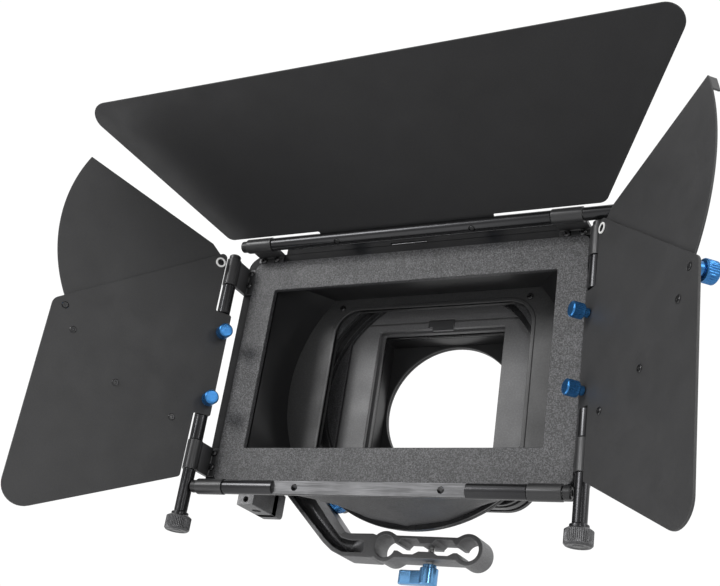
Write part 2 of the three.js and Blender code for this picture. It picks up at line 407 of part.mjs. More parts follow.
for (const name of ["left", "right"]) {
  const P = [[6.6, -84.4], [115.3, -135.7], [115.3, 6.2], [6.6, 80.1], [6.6, SEAT_Z[1] - 0.8], [-5.2, SEAT_Z[1] - 0.8], [-5.2, SEAT_Z[0] + 0.8], [6.6, SEAT_Z[0] + 0.8]];
  const pts = rounded(P, [2.5, 14, 6, 3, 1.2, 1.5, 1.5, 1.2], 4);
  let f = onFlag(name, pts, N0, N1);
  for (const z of SCREW_Z) f = f.subtract(onFlag(name, circle(2.4, 14, 0, z), N0 - 1, N1 + 1));
  f = f.subtract(onFlag(name, circle(2.3, 14, ...PIVOT), N0 - 1, N1 + 1));
  f = f.subtract(onFlag(name, circle(2.3, 14, ...polar(LOCK_R, LOCK_A)), N0 - 1, N1 + 1));
  for (const a of RIVET_A) f = f.subtract(onFlag(name, circle(1.9, 12, ...polar(RIVET_R, a)), N0 - 1, N1 + 1));
  add(name + "_flag", f, FLAG);

  // fan: a sector whose straight edges pass either side of the pivot
  const fan = [], up = 17.9, lo = -36;
  const arc0 = lo + 2.0, arc1 = 22.6;
  fan.push([PIVOT[0] - 3.6, PIVOT[1] + 3.4]);
  fan.push([PIVOT[0] - 3.2, PIVOT[1] - 3.4]);
  fan.push([PIVOT[0] - 4 * Math.sin(-lo * D) + 4 * Math.cos(lo * D), PIVOT[1] - 4 * Math.cos(lo * D) - 4 * Math.sin(-lo * D)]);
  for (let i = 0; i <= 14; i++) { const q = polar(FAN_R, arc0 - 4 + ((arc1 - arc0 + 4) * i) / 14); fan.push(q); }
  fan.push([PIVOT[0] + 7.6, PIVOT[1] + 13]);
  let fp = onFlag(name, fan, FAN0, FAN1);
  // folded finger tab at the tip
  const t0 = polar(FAN_R, 22.4), t1 = polar(FAN_R, 17.2), e0 = polar(FAN_R - 1.2, 22.4), e1 = polar(FAN_R - 1.2, 17.2);
  fp = fp.add(onFlag(name, [t0, e0, e1, t1], FAN0 + 0.2, FAN1 + 4.6));
  fp = fp.subtract(onFlag(name, circle(2.3, 14, ...PIVOT), FAN0 - 1, FAN1 + 8));
  add(name + "_fan", fp, FLAG);

  // pivot rivet: washer inside, shank, washer outside
  add(name + "_fan_pivot", union(
    onFlag(name, circle(3.6, 24, ...PIVOT), N0 - GAP - 0.7, N0 - GAP),
    onFlag(name, circle(2, 16, ...PIVOT), N0 - GAP - 0.5, FAN1 + GAP + 0.5),
    onFlag(name, circle(3.9, 24, ...PIVOT), FAN1 + GAP, FAN1 + GAP + 1)), STEEL);
  // knurled lock screw that pinches the fan's rim
  const L = polar(LOCK_R, LOCK_A);
  add(name + "_fan_lock_knob", union(
    onFlag(name, circle(2, 14, ...L), N0 - 0.4, FAN1 + 1),
    onFlag(name, circle(4.3, 20, ...L), FAN1 + GAP, FAN1 + GAP + 3.6),
    onFlag(name, circle(6.3, 32, ...L), FAN1 + GAP + 3.5, FAN1 + GAP + 11.4)), BLUE);
  // guide rivets outside the rim, their washers lap over it
  RIVET_A.forEach((a, i) => {
    const c = polar(RIVET_R, a);
    add(name + "_guide_rivet_" + (i + 1), union(
      onFlag(name, circle(2.4, 14, ...c), N0 - GAP - 0.4, N0 - GAP),
      onFlag(name, circle(1.6, 12, ...c), N0 - GAP - 0.2, FAN1 + GAP + 0.5),
      onFlag(name, circle(3.4, 16, ...c), N1 + GAP, FAN1),
      onFlag(name, circle(5.2, 18, ...c), FAN1 + GAP, FAN1 + GAP + 0.8)), TRIM);
  });
  // knurled screws that hold the flag on its bar, heads on the inner side
  SCREW_Z.forEach((z, i) => {
    add(name + "_flag_screw_" + (i === 0 ? "upper" : "lower"), union(
      onFlag(name, circle(1.8, 14, 0, z), N0 - 2, 4),
      onFlag(name, circle(2.9, 16, 0, z), N0 - 3.8, N0 - GAP),
      onFlag(name, circle(4.9, 28, 0, z), N0 - 11.6, N0 - 3.5)), BLUE);
  });
}
[-1, 1].forEach((s) => {
  const q = FLAT_D + GAP + PLATE_T;
  add(s < 0 ? "top_flag_screw_left" : "top_flag_screw_right", union(
    onFlag("top", circle(1.8, 14, 0, s * SCREW_X), -4.4, q + 2),
    onFlag("top", circle(2.9, 16, 0, s * SCREW_X), q + GAP, q + 3.2),
    onFlag("top", circle(4.9, 28, 0, s * SCREW_X), q + 3, q + 10.2)), BLUE);
});

export default group;
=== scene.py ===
import math

import bmesh
import bpy
from mathutils import Matrix, Vector


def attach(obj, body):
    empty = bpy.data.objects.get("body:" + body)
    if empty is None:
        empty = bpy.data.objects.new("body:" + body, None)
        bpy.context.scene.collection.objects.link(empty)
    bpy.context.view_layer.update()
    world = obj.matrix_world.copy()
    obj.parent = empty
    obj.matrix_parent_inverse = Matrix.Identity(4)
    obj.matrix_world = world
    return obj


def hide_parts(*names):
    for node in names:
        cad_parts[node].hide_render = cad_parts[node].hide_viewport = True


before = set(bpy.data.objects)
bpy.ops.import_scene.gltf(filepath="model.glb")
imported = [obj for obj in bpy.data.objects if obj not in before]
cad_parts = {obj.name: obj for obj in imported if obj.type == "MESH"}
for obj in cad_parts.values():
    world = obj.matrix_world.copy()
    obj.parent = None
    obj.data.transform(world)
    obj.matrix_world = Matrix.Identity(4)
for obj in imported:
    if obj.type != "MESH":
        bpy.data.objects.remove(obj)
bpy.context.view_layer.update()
scene = bpy.context.scene
D = math.pi / 180

# Shapes are written in millimetres from the hood's optical axis and front face,
# and moved to the row frame (metres, origin at the rod clamp) by ROW.
ROW = Matrix.Scale(0.001, 4) @ Matrix.Translation((0, -80.5, 100.3))

HX, HY, HZT, HZB = 132.2, -14.0, 87.0, -89.0
TOP_A, LEFT_A, RIGHT_A = 29 * D, 34.9 * D, 43.5 * D


# ------------------------------------------------------------------ frames
def basis(x, y, z, o=(0, 0, 0)):
    m = Matrix((x, y, z)).transposed().to_4x4()
    m.translation = Vector(o)
    return m


ALONG_Y = basis((1, 0, 0), (0, 0, 1), (0, -1, 0))      # outline (x, z); depth is -y
ALONG_X = basis((0, 1, 0), (0, 0, 1), (1, 0, 0))       # outline (y, z); depth is x
ALONG_Z = Matrix.Identity(4)                           # outline (x, y); depth is z


def axis_frame(o, z, x=None):
    z = Vector(z).normalized()
    x = Vector(x) if x is not None else (Vector((0, 0, 1)) if abs(z.z) < 0.9 else Vector((1, 0, 0)))
    x = (x - z * x.dot(z)).normalized()
    return basis(x, z.cross(x), z, o)


def flag_axes(which):
    if which == "top":
        return Vector((0, -math.cos(TOP_A), math.sin(TOP_A))), Vector((0, math.sin(TOP_A), math.cos(TOP_A))), Vector((0, HY, HZT)), Vector((1, 0, 0))
    sg, a = (-1, LEFT_A) if which == "left" else (1, RIGHT_A)
    return Vector((sg * math.sin(a), -math.cos(a), 0)), Vector((sg * math.cos(a), math.sin(a), 0)), Vector((sg * HX, HY, 0)), Vector((0, 0, 1))


def flag_point(which, s, b, n):
    S, N, O, U = flag_axes(which)
    return O + S * s + U * b + N * n


# ------------------------------------------------------------------ outlines
def circ(r, n=64, cx=0.0, cy=0.0):
    return [(cx + r * math.cos(2 * math.pi * i / n), cy + r * math.sin(2 * math.pi * i / n)) for i in range(n)]


def rect(x0, y0, x1, y1):
    return [(x0, y0), (x1, y0), (x1, y1), (x0, y1)]


def area(p):
    return 0.5 * sum(p[i][0] * p[(i + 1) % len(p)][1] - p[(i + 1) % len(p)][0] * p[i][1] for i in range(len(p)))


def rounded(corners, radii, n=8):
    """Polygon with true arc fillets."""
    out = []
    N = len(corners)
    for i in range(N):
        p, a, b = Vector(corners[i]), Vector(corners[i - 1]), Vector(corners[(i + 1) % N])
        r = radii[i] if isinstance(radii, (list, tuple)) else radii
        u, v = (a - p), (b - p)
        lu, lv = u.length, v.length
        if r <= 0 or lu < 1e-9 or lv < 1e-9:
            out.append(tuple(p)); continue
        u /= lu; v /= lv
        half = math.acos(max(-1, min(1, u.dot(v)))) / 2
        if abs(half - math.pi / 2) < 0.01:
            out.append(tuple(p)); continue
        t = min(r / math.tan(half), lu * 0.48, lv * 0.48)
        rr = t * math.tan(half)
        c = p + (u + v).normalized() * (rr / math.sin(half))
        s, e = p + u * t - c, p + v * t - c
        a0 = math.atan2(s.y, s.x); a1 = math.atan2(e.y, e.x)
        d = (a1 - a0 + math.pi) % (2 * math.pi) - math.pi
        for k in range(n + 1):
            q = a0 + d * k / n
            out.append((c.x + rr * math.cos(q), c.y + rr * math.sin(q)))
    return out


def rrect(hx, hy, r, n=8):
    return rounded([(-hx, -hy), (hx, -hy), (hx, hy), (-hx, hy)], r, n)


def shift(pts, dx, dy):
    return [(x + dx, y + dy) for x, y in pts]


# ------------------------------------------------------------------ meshes
def prism(outline, a, b, at, holes=(), bevel=0.3, res=2):
    """Solid plate between depths a and b with rounded rims on the outline and on every hole."""
    a, b = min(a, b), max(a, b)
    bevel = min(bevel, (b - a) * 0.49)
    cu = bpy.data.curves.new("tmp", "CURVE")
    cu.dimensions = "2D"
    cu.fill_mode = "BOTH"
    for k, pts in enumerate([outline] + list(holes)):
        pts = list(pts)
        if (area(pts) > 0) != (k == 0):
            pts.reverse()
        sp = cu.splines.new("POLY")
        sp.points.add(len(pts) - 1)
        for q, p in zip(sp.points, pts):
            q.co = (p[0], p[1], 0, 1)
        sp.use_cyclic_u = True
    cu.extrude = (b - a) / 2 - bevel
    cu.bevel_depth = bevel
    cu.bevel_resolution = res
    cu.offset = -bevel
    ob = bpy.data.objects.new("tmp", cu)
    scene.collection.objects.link(ob)
    dg = bpy.context.evaluated_depsgraph_get()
    me = bpy.data.meshes.new_from_object(ob.evaluated_get(dg), depsgraph=dg)
    bpy.data.objects.remove(ob)
    bpy.data.curves.remove(cu)
    me.materials.clear()
    me.transform(Matrix.Translation((0, 0, (a + b) / 2)))
    me.transform(at)
    bm = bmesh.new(); bm.from_mesh(me)
    bmesh.ops.remove_doubles(bm, verts=bm.verts, dist=1e-4)
    bmesh.ops.recalc_face_normals(bm, faces=bm.faces)
    bm.to_mesh(me); bm.free()
    return me


def fillet_profile(p, r, n=3, closed=False):
    out = []
    N = len(p)
    for i in range(N):
        if not closed and i in (0, N - 1):
            out.append(tuple(p[i])); continue
        q, a, b = Vector(p[i]), Vector(p[i - 1]), Vector(p[(i + 1) % N])
        u, v = (a - q), (b - q)
        lu, lv = u.length, v.length
        t = min(r, lu * 0.45, lv * 0.45)
        u.normalize(); v.normalize()
        s, e = q + u * t, q + v * t
        for k in range(n + 1):
            w = k / n
            m = s * (1 - w) ** 2 + q * 2 * w * (1 - w) + e * w * w
            out.append(tuple(m))
    return out


def turned(profile, at, seg=72, fillet=0.3, closed=False, teeth=0, depth=0.0, band=None):
    """Turned piece about the local z axis: profile of (radius, height). teeth cuts a straight knurl
    of that many ribs over the heights in band, into surfaces close to the outer radius."""
    p = fillet_profile([tuple(q) for q in profile], fillet, 3, closed) if fillet > 0 else [tuple(q) for q in profile]
    if teeth:
        dense = [p[0]]
        for q in p[1:]:
            l = dense[-1]
            k = max(1, int(abs(q[1] - l[1]) / 1.2))
            dense += [(l[0] + (q[0] - l[0]) * i / k, l[1] + (q[1] - l[1]) * i / k) for i in range(1, k + 1)]
        p = dense
        seg = teeth * 6
    rmax = max(q[0] for q in p)
    bm = bmesh.new()
    rings = []
    for r, h in p:
        if r < 1e-5:
            rings.append([bm.verts.new((0, 0, h))]); continue
        ring = []
        for i in range(seg):
            t = 2 * math.pi * i / seg
            rr = r
            if teeth and r > rmax - 0.95 and (band is None or band[0] <= h <= band[1]):
                edge = 1.0
                if band is not None:
                    edge = min(1.0, (h - band[0]) / 0.5, (band[1] - h) / 0.5)
                w = 0.5 - 0.5 * math.cos(t * teeth)
                rr = r - depth * max(0.0, edge) * w ** 1.4
            ring.append(bm.verts.new((rr * math.cos(t), rr * math.sin(t), h)))
        rings.append(ring)
    pairs = list(zip(rings, rings[1:])) + ([(rings[-1], rings[0])] if closed else [])
    for A, B in pairs:
        if len(A) == 1 and len(B) == 1:
            continue
        for i in range(seg):
            j = (i + 1) % seg
            if len(A) == 1:
                bm.faces.new((A[0], B[i], B[j]))
            elif len(B) == 1:
                bm.faces.new((A[i], A[j], B[0]))
            else:
                bm.faces.new((A[i], A[j], B[j], B[i]))
    bmesh.ops.remove_doubles(bm, verts=bm.verts, dist=1e-4)
    bmesh.ops.recalc_face_normals(bm, faces=bm.faces)
    me = bpy.data.meshes.new("tmp")
    bm.to_mesh(me); bm.free()
    me.transform(at)
    return me


def rings_mesh(rings, closed_ends=True, cyc=True):
    """Skin over rings of points (each a closed loop with the same count)."""
    bm = bmesh.new()
    R = [[bm.verts.new(p) for p in ring] for ring in rings]
    n = len(R[0])
    for A, B in zip(R, R[1:]):
        for i in range(n):
            j = (i + 1) % n
            bm.faces.new((A[i], A[j], B[j], B[i]))
    if closed_ends == "loop":
        A, B = R[-1], R[0]
        for i in range(n):
            j = (i + 1) % n
            bm.faces.new((A[i], A[j], B[j], B[i]))
    elif closed_ends:
        bm.faces.new(R[0]); bm.faces.new(R[-1])
    bmesh.ops.recalc_face_normals(bm, faces=bm.faces)
    me = bpy.data.meshes.new("tmp")
    bm.to_mesh(me); bm.free()
    return me


def modified(me, make):
    """The mesh after modifiers that make(object) adds."""
    ob = bpy.data.objects.new("tmp", me)
    scene.collection.objects.link(ob)
    extra = make(ob) or []
    bpy.context.view_layer.update()
    dg = bpy.context.evaluated_depsgraph_get()
    out = bpy.data.meshes.new_from_object(ob.evaluated_get(dg), preserve_all_data_layers=True, depsgraph=dg)
    bpy.data.objects.remove(ob)
    for e in extra:
        bpy.data.objects.remove(e)
    return out


def cut(me, *cutters, bevel=0.0, mode="DIFFERENCE"):
    def make(ob):
        extra = []
        for c in cutters:
            o = bpy.data.objects.new("cutter", c)
            scene.collection.objects.link(o)
            m = ob.modifiers.new("b", "BOOLEAN")
            m.operation = mode; m.solver = "EXACT"; m.object = o
            extra.append(o)
        if bevel:
            m = ob.modifiers.new("v", "BEVEL")
            m.width = bevel; m.segments = 2; m.limit_method = "ANGLE"; m.angle_limit = 38 * D
            m.use_clamp_overlap = True
        return extra
    return modified(me, make)


def join(parts):
    """One mesh from (mesh, material) pairs."""
    mats = []
    bm = bmesh.new()
    for me, mat in parts:
        if mat not in mats:
            mats.append(mat)
        k = mats.index(mat)
        before = len(bm.faces)
        bm.from_mesh(me)
        bm.faces.ensure_lookup_table()
        for f in bm.faces[before:]:
            f.material_index = k
            f.smooth = True
    bmesh.ops.dissolve_degenerate(bm, dist=1e-5, edges=bm.edges)
    me = bpy.data.meshes.new("tmp")
    bm.to_mesh(me); bm.free()
    for m in mats:
        me.materials.append(m)
    return me


def piece(name, body, parts, replaces=(), angle=36):
    me = join(parts)
    me.transform(ROW)
    me.set_sharp_from_angle(angle=angle * D)

    def make(ob):
        m = ob.modifiers.new("w", "WEIGHTED_NORMAL")
        m.keep_sharp = True
        m.weight = 80
    me = modified(me, make)
    me.name = name
    ob = bpy.data.objects.new(name, me)
    scene.collection.objects.link(ob)
    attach(ob, body)
    if replaces:
        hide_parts(*([replaces] if isinstance(replaces, str) else replaces))
    return ob


# ------------------------------------------------------------------ materials
def material(name, color, rough, metal=0.0, spec=0.5, grain=None, grain_bump=0.0, speckle=0.0, speckle_scale=900.0,
             mottle=0.12, rough_var=0.08, stretch=None, lines=0.0, wear=0.0, wear_color=(0.35, 0.35, 0.36), coat=0.0, fine=None, fine_bump=0.0):
    m = bpy.data.materials.new(name)
    m.use_nodes = True
    nt = m.node_tree
    N, L = nt.nodes, nt.links
    b = N["Principled BSDF"]
    b.inputs["Metallic"].default_value = metal
    b.inputs["Specular IOR Level"].default_value = spec
    b.inputs["Coat Weight"].default_value = coat
    b.inputs["Coat Roughness"].default_value = 0.15
    tc = N.new("ShaderNodeTexCoord")
    src = tc.outputs["Object"]
    # broad, faint change of tone over the piece
    n1 = N.new("ShaderNodeTexNoise"); n1.inputs["Scale"].default_value = 14; n1.inputs["Detail"].default_value = 5
    L.new(src, n1.inputs["Vector"])
    r1 = N.new("ShaderNodeMapRange"); r1.inputs["From Min"].default_value = 0.3; r1.inputs["From Max"].default_value = 0.7
    r1.inputs["To Min"].default_value = 1 - mottle; r1.inputs["To Max"].default_value = 1 + mottle
    L.new(n1.outputs["Fac"], r1.inputs["Value"])
    mul = N.new("ShaderNodeVectorMath"); mul.operation = "SCALE"; mul.inputs[0].default_value = color
    L.new(r1.outputs["Result"], mul.inputs["Scale"])
    col = mul.outputs["Vector"]
    n2 = N.new("ShaderNodeTexNoise"); n2.inputs["Scale"].default_value = speckle_scale; n2.inputs["Detail"].default_value = 3
    n2.inputs["Roughness"].default_value = 0.65
    if stretch:
        mp = N.new("ShaderNodeMapping"); mp.inputs["Scale"].default_value = stretch
        L.new(src, mp.inputs["Vector"]); L.new(mp.outputs["Vector"], n2.inputs["Vector"])
    else:
        L.new(src, n2.inputs["Vector"])
    if speckle:
        r2 = N.new("ShaderNodeMapRange"); r2.inputs["From Min"].default_value = 0.42; r2.inputs["From Max"].default_value = 0.68
        r2.inputs["To Min"].default_value = 1 - speckle * 0.5; r2.inputs["To Max"].default_value = 1 + speckle
        L.new(n2.outputs["Fac"], r2.inputs["Value"])
        m2 = N.new("ShaderNodeVectorMath"); m2.operation = "SCALE"
        L.new(col, m2.inputs[0]); L.new(r2.outputs["Result"], m2.inputs["Scale"])
        col = m2.outputs["Vector"]
    if wear:
        g = N.new("ShaderNodeNewGeometry")
        r3 = N.new("ShaderNodeMapRange"); r3.inputs["From Min"].default_value = 0.52; r3.inputs["From Max"].default_value = 0.62
        r3.inputs["To Min"].default_value = 0; r3.inputs["To Max"].default_value = wear
        L.new(g.outputs["Pointiness"], r3.inputs["Value"])
        mx = N.new("ShaderNodeMix"); mx.data_type = "RGBA"
        L.new(r3.outputs["Result"], mx.inputs["Factor"]); L.new(col, mx.inputs["A"])
        mx.inputs["B"].default_value = (*wear_color, 1)
        col = mx.outputs["Result"]
    L.new(col, b.inputs["Base Color"])
    r4 = N.new("ShaderNodeMapRange"); r4.inputs["From Min"].default_value = 0.25; r4.inputs["From Max"].default_value = 0.75
    r4.inputs["To Min"].default_value = max(0.03, rough - rough_var); r4.inputs["To Max"].default_value = min(1, rough + rough_var)
    n4 = N.new("ShaderNodeTexNoise"); n4.inputs["Scale"].default_value = 60; n4.inputs["Detail"].default_value = 6
    L.new(src, n4.inputs["Vector"])
    L.new(n4.outputs["Fac"], r4.inputs["Value"]); L.new(r4.outputs["Result"], b.inputs["Roughness"])
    last = None
    for scale, strength, on_stretch in ((grain, grain_bump, bool(stretch)), (fine, fine_bump, False)):
        if scale and strength:
            n5 = N.new("ShaderNodeTexNoise"); n5.inputs["Scale"].default_value = scale; n5.inputs["Detail"].default_value = 4
            n5.inputs["Roughness"].default_value = 0.6
            if on_stretch:
                L.new(mp.outputs["Vector"], n5.inputs["Vector"])
            else:
                L.new(src, n5.inputs["Vector"])
            bp = N.new("ShaderNodeBump"); bp.inputs["Strength"].default_value = strength; bp.inputs["Distance"].default_value = 0.0003
            L.new(n5.outputs["Fac"], bp.inputs["Height"])
            if last:
                L.new(last, bp.inputs["Normal"])
            last = bp.outputs["Normal"]
    if last:
        L.new(last, b.inputs["Normal"])
    return m


FACE = material("moulded_front", (0.052, 0.052, 0.055), 0.42, spec=0.6, grain=1100, grain_bump=1.0, speckle=1.5, speckle_scale=1250, mottle=0.1, fine=3200, fine_bump=0.35)
EDGE = material("rim_moulding", (0.010, 0.010, 0.011), 0.55, spec=0.22, grain=1100, grain_bump=0.35, speckle=0.4, speckle_scale=1250, mottle=0.1)
# spring steel of the filter clip; on the front frame the same bright metal paints lines of light, in the top notch and
# along the top edge
CLIP_AND_HIGHLIGHT_METAL = material("clip_spring_and_painted_highlight", (0.20, 0.20, 0.205), 0.3, metal=0.8, spec=0.6, grain=1200, grain_bump=0.06, mottle=0.08)
LEVER = material("lever_anodised", (0.14, 0.34, 0.62), 0.14, metal=0.80, spec=0.7, grain=1400, grain_bump=0.04, mottle=0.06, wear=0.4, wear_color=(0.5, 0.7, 0.9))
ABS = material("moulded_texture", (0.030, 0.030, 0.032), 0.46, spec=0.55, grain=1100, grain_bump=0.95, speckle=1.1, speckle_scale=1250, mottle=0.1, fine=3200, fine_bump=0.3)
SMOOTH = material("smooth_moulding", (0.018, 0.018, 0.019), 0.36, spec=0.5, grain=420, grain_bump=0.06, mottle=0.15, rough_var=0.05)
PLATE = material("aperture_moulding", (0.044, 0.044, 0.045), 0.42, spec=0.5, grain=1500, grain_bump=0.22, speckle=0.25, mottle=0.12)
# painted shade: the top flag gets a darker, less shiny copy of the flag paint, for the shade it sits in
FLAG_SHADED_TOP = material("flag_paint_top_shaded", (0.019, 0.019, 0.020), 0.50, spec=0.26, grain=2600, grain_bump=0.18, speckle=0.22, speckle_scale=2200, mottle=0.07, wear=0.25, wear_color=(0.2, 0.2, 0.2))
FLAG = material("flag_paint", (0.040, 0.040, 0.041), 0.50, spec=0.42, grain=2600, grain_bump=0.18, speckle=0.22, speckle_scale=2200, mottle=0.07, wear=0.25, wear_color=(0.2, 0.2, 0.2))
BARS = material("polished_black", (0.032, 0.032, 0.034), 0.20, metal=0.75, spec=0.7, grain=700, grain_bump=0.05, mottle=0.1, wear=0.3, rough_var=0.05)
MILLED = material("milled_flat", (0.095, 0.095, 0.098), 0.40, metal=0.75, grain=900, grain_bump=0.3, speckle=0.35, stretch=(0.05, 1, 1), mottle=0.1)
HINGE = material("black_hinge", (0.026, 0.026, 0.027), 0.36, metal=0.35, spec=0.6, grain=1800, grain_bump=0.15, mottle=0.12, wear=0.35)
KNURL = material("knurled_dark", (0.085, 0.085, 0.088), 0.34, metal=0.8, spec=0.6, grain=2500, grain_bump=0.15, speckle=0.3, wear=0.55, wear_color=(0.5, 0.5, 0.5))
BLUE = material("blue_anodised", (0.040, 0.185, 0.450), 0.27, metal=0.80, spec=0.6, grain=1800, grain_bump=0.08, speckle=0.12, wear=0.45, wear_color=(0.12, 0.42, 0.85))
ARM = material("blasted_grey", (0.165, 0.165, 0.168), 0.46, metal=0.75, spec=0.5, grain=2000, grain_bump=0.55, speckle=0.45, speckle_scale=1900, wear=0.4)
# the satin gloss is the channel's own finish; its base is darker than the arm metal, and that darker tone is partly
# painted shade for the recessed channel
SATIN_SHADED_CHANNEL = material("satin_channel_painted_shade", (0.085, 0.085, 0.088), 0.28, metal=0.85, spec=0.5, grain=1500, grain_bump=0.18, speckle=0.2, mottle=0.12)
STEEL = material("bright_steel", (0.62, 0.62, 0.61), 0.22, metal=1.0, grain=1500, grain_bump=0.1, mottle=0.06)
WASHER = material("white_washer", (0.86, 0.86, 0.85), 0.38, spec=0.5, grain=900, grain_bump=0.05, mottle=0.03)
SCREW = material("black_screw", (0.016, 0.016, 0.017), 0.25, metal=0.4, spec=0.7, grain=1500, grain_bump=0.1, wear=0.3)
RING = material("ribbed_ring", (0.016, 0.016, 0.017), 0.24, spec=0.65, grain=900, grain_bump=0.08, mottle=0.1)
TRAY = material("tray_moulding", (0.135, 0.135, 0.138), 0.45, spec=0.5, grain=1600, grain_bump=0.25, speckle=0.2, mottle=0.08)
DARKHOLE = material("thread_dark", (0.006, 0.006, 0.006), 0.5, metal=0.3, grain=900, grain_bump=0.2)


# ------------------------------------------------------------------ small hardware
def screw_head(o, n, r=2.6, h=1.7, cross=False, mat=SCREW):
    """Domed head with a socket or a cross recess. Returns (mesh, material) pairs."""
    at = axis_frame(o, n)
    prof = [(0, -0.4), (r, -0.4), (r, 0.25)]
    for i in range(1, 7):
        a = i * 0.5 * math.pi / 7
        prof.append((r * math.cos(a), 0.25 + (h - 0.25) * math.sin(a)))
    if cross:
        prof.append((0, h))
        head = turned(prof, Matrix.Identity(4), 40, fillet=0)
        c1 = prism(rounded(rect(-r * 0.62, -0.34, r * 0.62, 0.34), 0.15, 3), h - 0.9, h + 1, Matrix.Identity(4), bevel=0.02)
        c2 = prism(rounded(rect(-0.34, -r * 0.62, 0.34, r * 0.62), 0.15, 3), h - 0.9, h + 1, Matrix.Identity(4), bevel=0.02)
        head = cut(head, c1, c2, bevel=0.05)
        head.transform(at @ Matrix.Rotation(0.6, 4, "Z"))
        return [(head, mat)]
    k = [q for q in prof if q[0] > r * 0.5] + [(r * 0.5, h * 0.93)]
    head = turned(k + [(r * 0.46, h * 0.86), (r * 0.46, 0.3), (0, 0.2)], at, 40, fillet=0.06)
    return [(head, mat)]


def thumb_head(at, r, z0, z1, teeth, mat, depth=0.32, crown=0.25):
    p = [(0, z0), (r - 0.7, z0), (r, z0 + 0.7), (r, z1 - 0.75), (r - 0.75, z1), (r * 0.35, z1), (0, z1 - 0.0)]
    return [(turned(p, at, fillet=0.22, teeth=teeth, depth=depth, band=(z0 + 0.8, z1 - 0.85)), mat)]


# ------------------------------------------------------------------ front frame
face = prism(rrect(122.5, 80.5, 5), -3.6, 0, ALONG_Y, holes=[rrect(103, 58, 1.2)], bevel=0.55, res=3)
rim = prism(rrect(131, 88, 11), -7, -3, ALONG_Y, holes=[rrect(104.8, 68.8, 1.5)], bevel=0.6, res=3)
top = prism(rounded([(-101, 86.5), (101, 86.5), (101, 93), (-101, 93)], [0.5, 0.5, 1.2, 1.2], 4), -7, -3, ALONG_Y, bevel=0.6, res=3)
slot = prism(rounded(rect(-18, 87.9, 9, 89.1), 0.4, 4), -4.2, -2, ALONG_Y, bevel=0.05)
rim, top = cut(rim, slot), cut(top, slot)
# painted highlight: a bright metal strip on the floor of the top notch stands in for the line of light seen there
painted_highlight_strip = prism(rounded(rect(-17.9, 88.0, 8.9, 89.0), 0.4, 4), -4.6, -3.8, ALONG_Y, bevel=0.1)
# painted highlight: a thin bright metal lip along the top edge of the frame stands in for the bright line of light
# under the top bar
lip = prism(rounded(rect(-100, 91.4, 100, 92.6), 0.5, 4), -3.6, -2.6, ALONG_Y, bevel=0.3, res=3)
parts = [(face, FACE), (rim, EDGE), (top, EDGE), (painted_highlight_strip, CLIP_AND_HIGHLIGHT_METAL), (lip, CLIP_AND_HIGHLIGHT_METAL)]
piece("frame_moulding", "hood", parts, "front_frame")

# screws of the eight hinge brackets
parts = []
for sx in (-1, 1):
    for x in (107.2, 117.4):
        for z in (82.9, -83.1):
            parts += screw_head((sx * x, 1.2, z), (0, -1, 0), 2.5, 1.9)
    for z in ((73.0, 64.0), (-61.5, -71.2)):
        for zz in z:
            parts += screw_head((sx * 126.2, 1.2, zz), (0, -1, 0), 2.4, 1.8)
piece("bracket_screws", "hood", parts)


# ------------------------------------------------------------------ hood shell and liner
def densify(p, k):
    out = []
    for a, b in zip(p, p[1:]):
        out += [(a[0] + (b[0] - a[0]) * i / k, a[1] + (b[1] - a[1]) * i / k) for i in range(k)]
    return out + [p[-1]]


def full_loop(q):
    a = list(q)
    half = a + [(-x, z) for x, z in reversed(a)][1:]
    return half + [(x, -z) for x, z in reversed(half)][1:-1]


front = [(126, 0), (126, -16), (126, -32), (126, -48), (126, -62), (126, -76), (119, -84), (80, -84.3), (50, -84.6), (0, -84.6)]
back = [(108, 0), (106.8, -16), (103.1, -32), (96.8, -48), (88.4, -62), (80.5, -72.8), (59.8, -73.8), (45.5, -83), (28.5, -90.4), (0, -94.4)]
K = 8


def smooth_line(q, times):
    q = list(q)
    for _ in range(times):
        q = [q[0]] + [((a[0] + 2 * b[0] + c[0]) / 4, (a[1] + 2 * b[1] + c[1]) / 4) for a, b, c in zip(q, q[1:], q[2:])] + [q[-1]]
    return q


fq = smooth_line(densify(front, K), 5)
bq = densify(back, K)
bq = smooth_line(bq[: 4 * K + 4], 12)[: 4 * K] + smooth_line(bq[4 * K - 4:], 4)[4:]
F, B = full_loop(fq), full_loop(bq)


def inset(loop, d):
    n = len(loop); out = []
    sg = 1 if area(loop) > 0 else -1
    for i in range(n):
        a, b = Vector(loop[i - 1]), Vector(loop[(i + 1) % n])
        t = (b - a).normalized()
        nrm = Vector((-t.y, t.x)) * sg
        p = Vector(loop[i]) + nrm * d
        out.append((p.x, p.y))
    return out


def section(A, Bq, t, y):
    return [(a[0] + (b[0] - a[0]) * t, y, a[1] + (b[1] - a[1]) * t) for a, b in zip(A, Bq)]


hole = [(83 * math.cos(a), 83 * math.sin(a)) for a in [math.atan2(z, x) for x, z in B]]
rings = [section(F, B, i / 20, 7.3 + (46 - 7.3) * i / 20) for i in range(21)]
rings += [section(B, B, 0, 48.1), [(p[0], 48.6, p[1]) for p in inset(B, 0.5)]]
rings += [[(x * 1.006, 48.6, z * 1.006) for x, z in hole], [(x, 48.1, z) for x, z in hole], [(x, 46.0, z) for x, z in hole]]
Bi, Fi = inset(B, 2.2), inset(F, 2.2)
rings += [[(p[0], 46.0, p[1]) for p in Bi]] + [section(Fi, Bi, 1 - i / 12, 46 - (46 - 7.3) * i / 12) for i in range(1, 13)]
shell = rings_mesh(rings, "loop")
piece("shell_moulding", "hood", [(shell, ABS)], "hood_shell", angle=22)


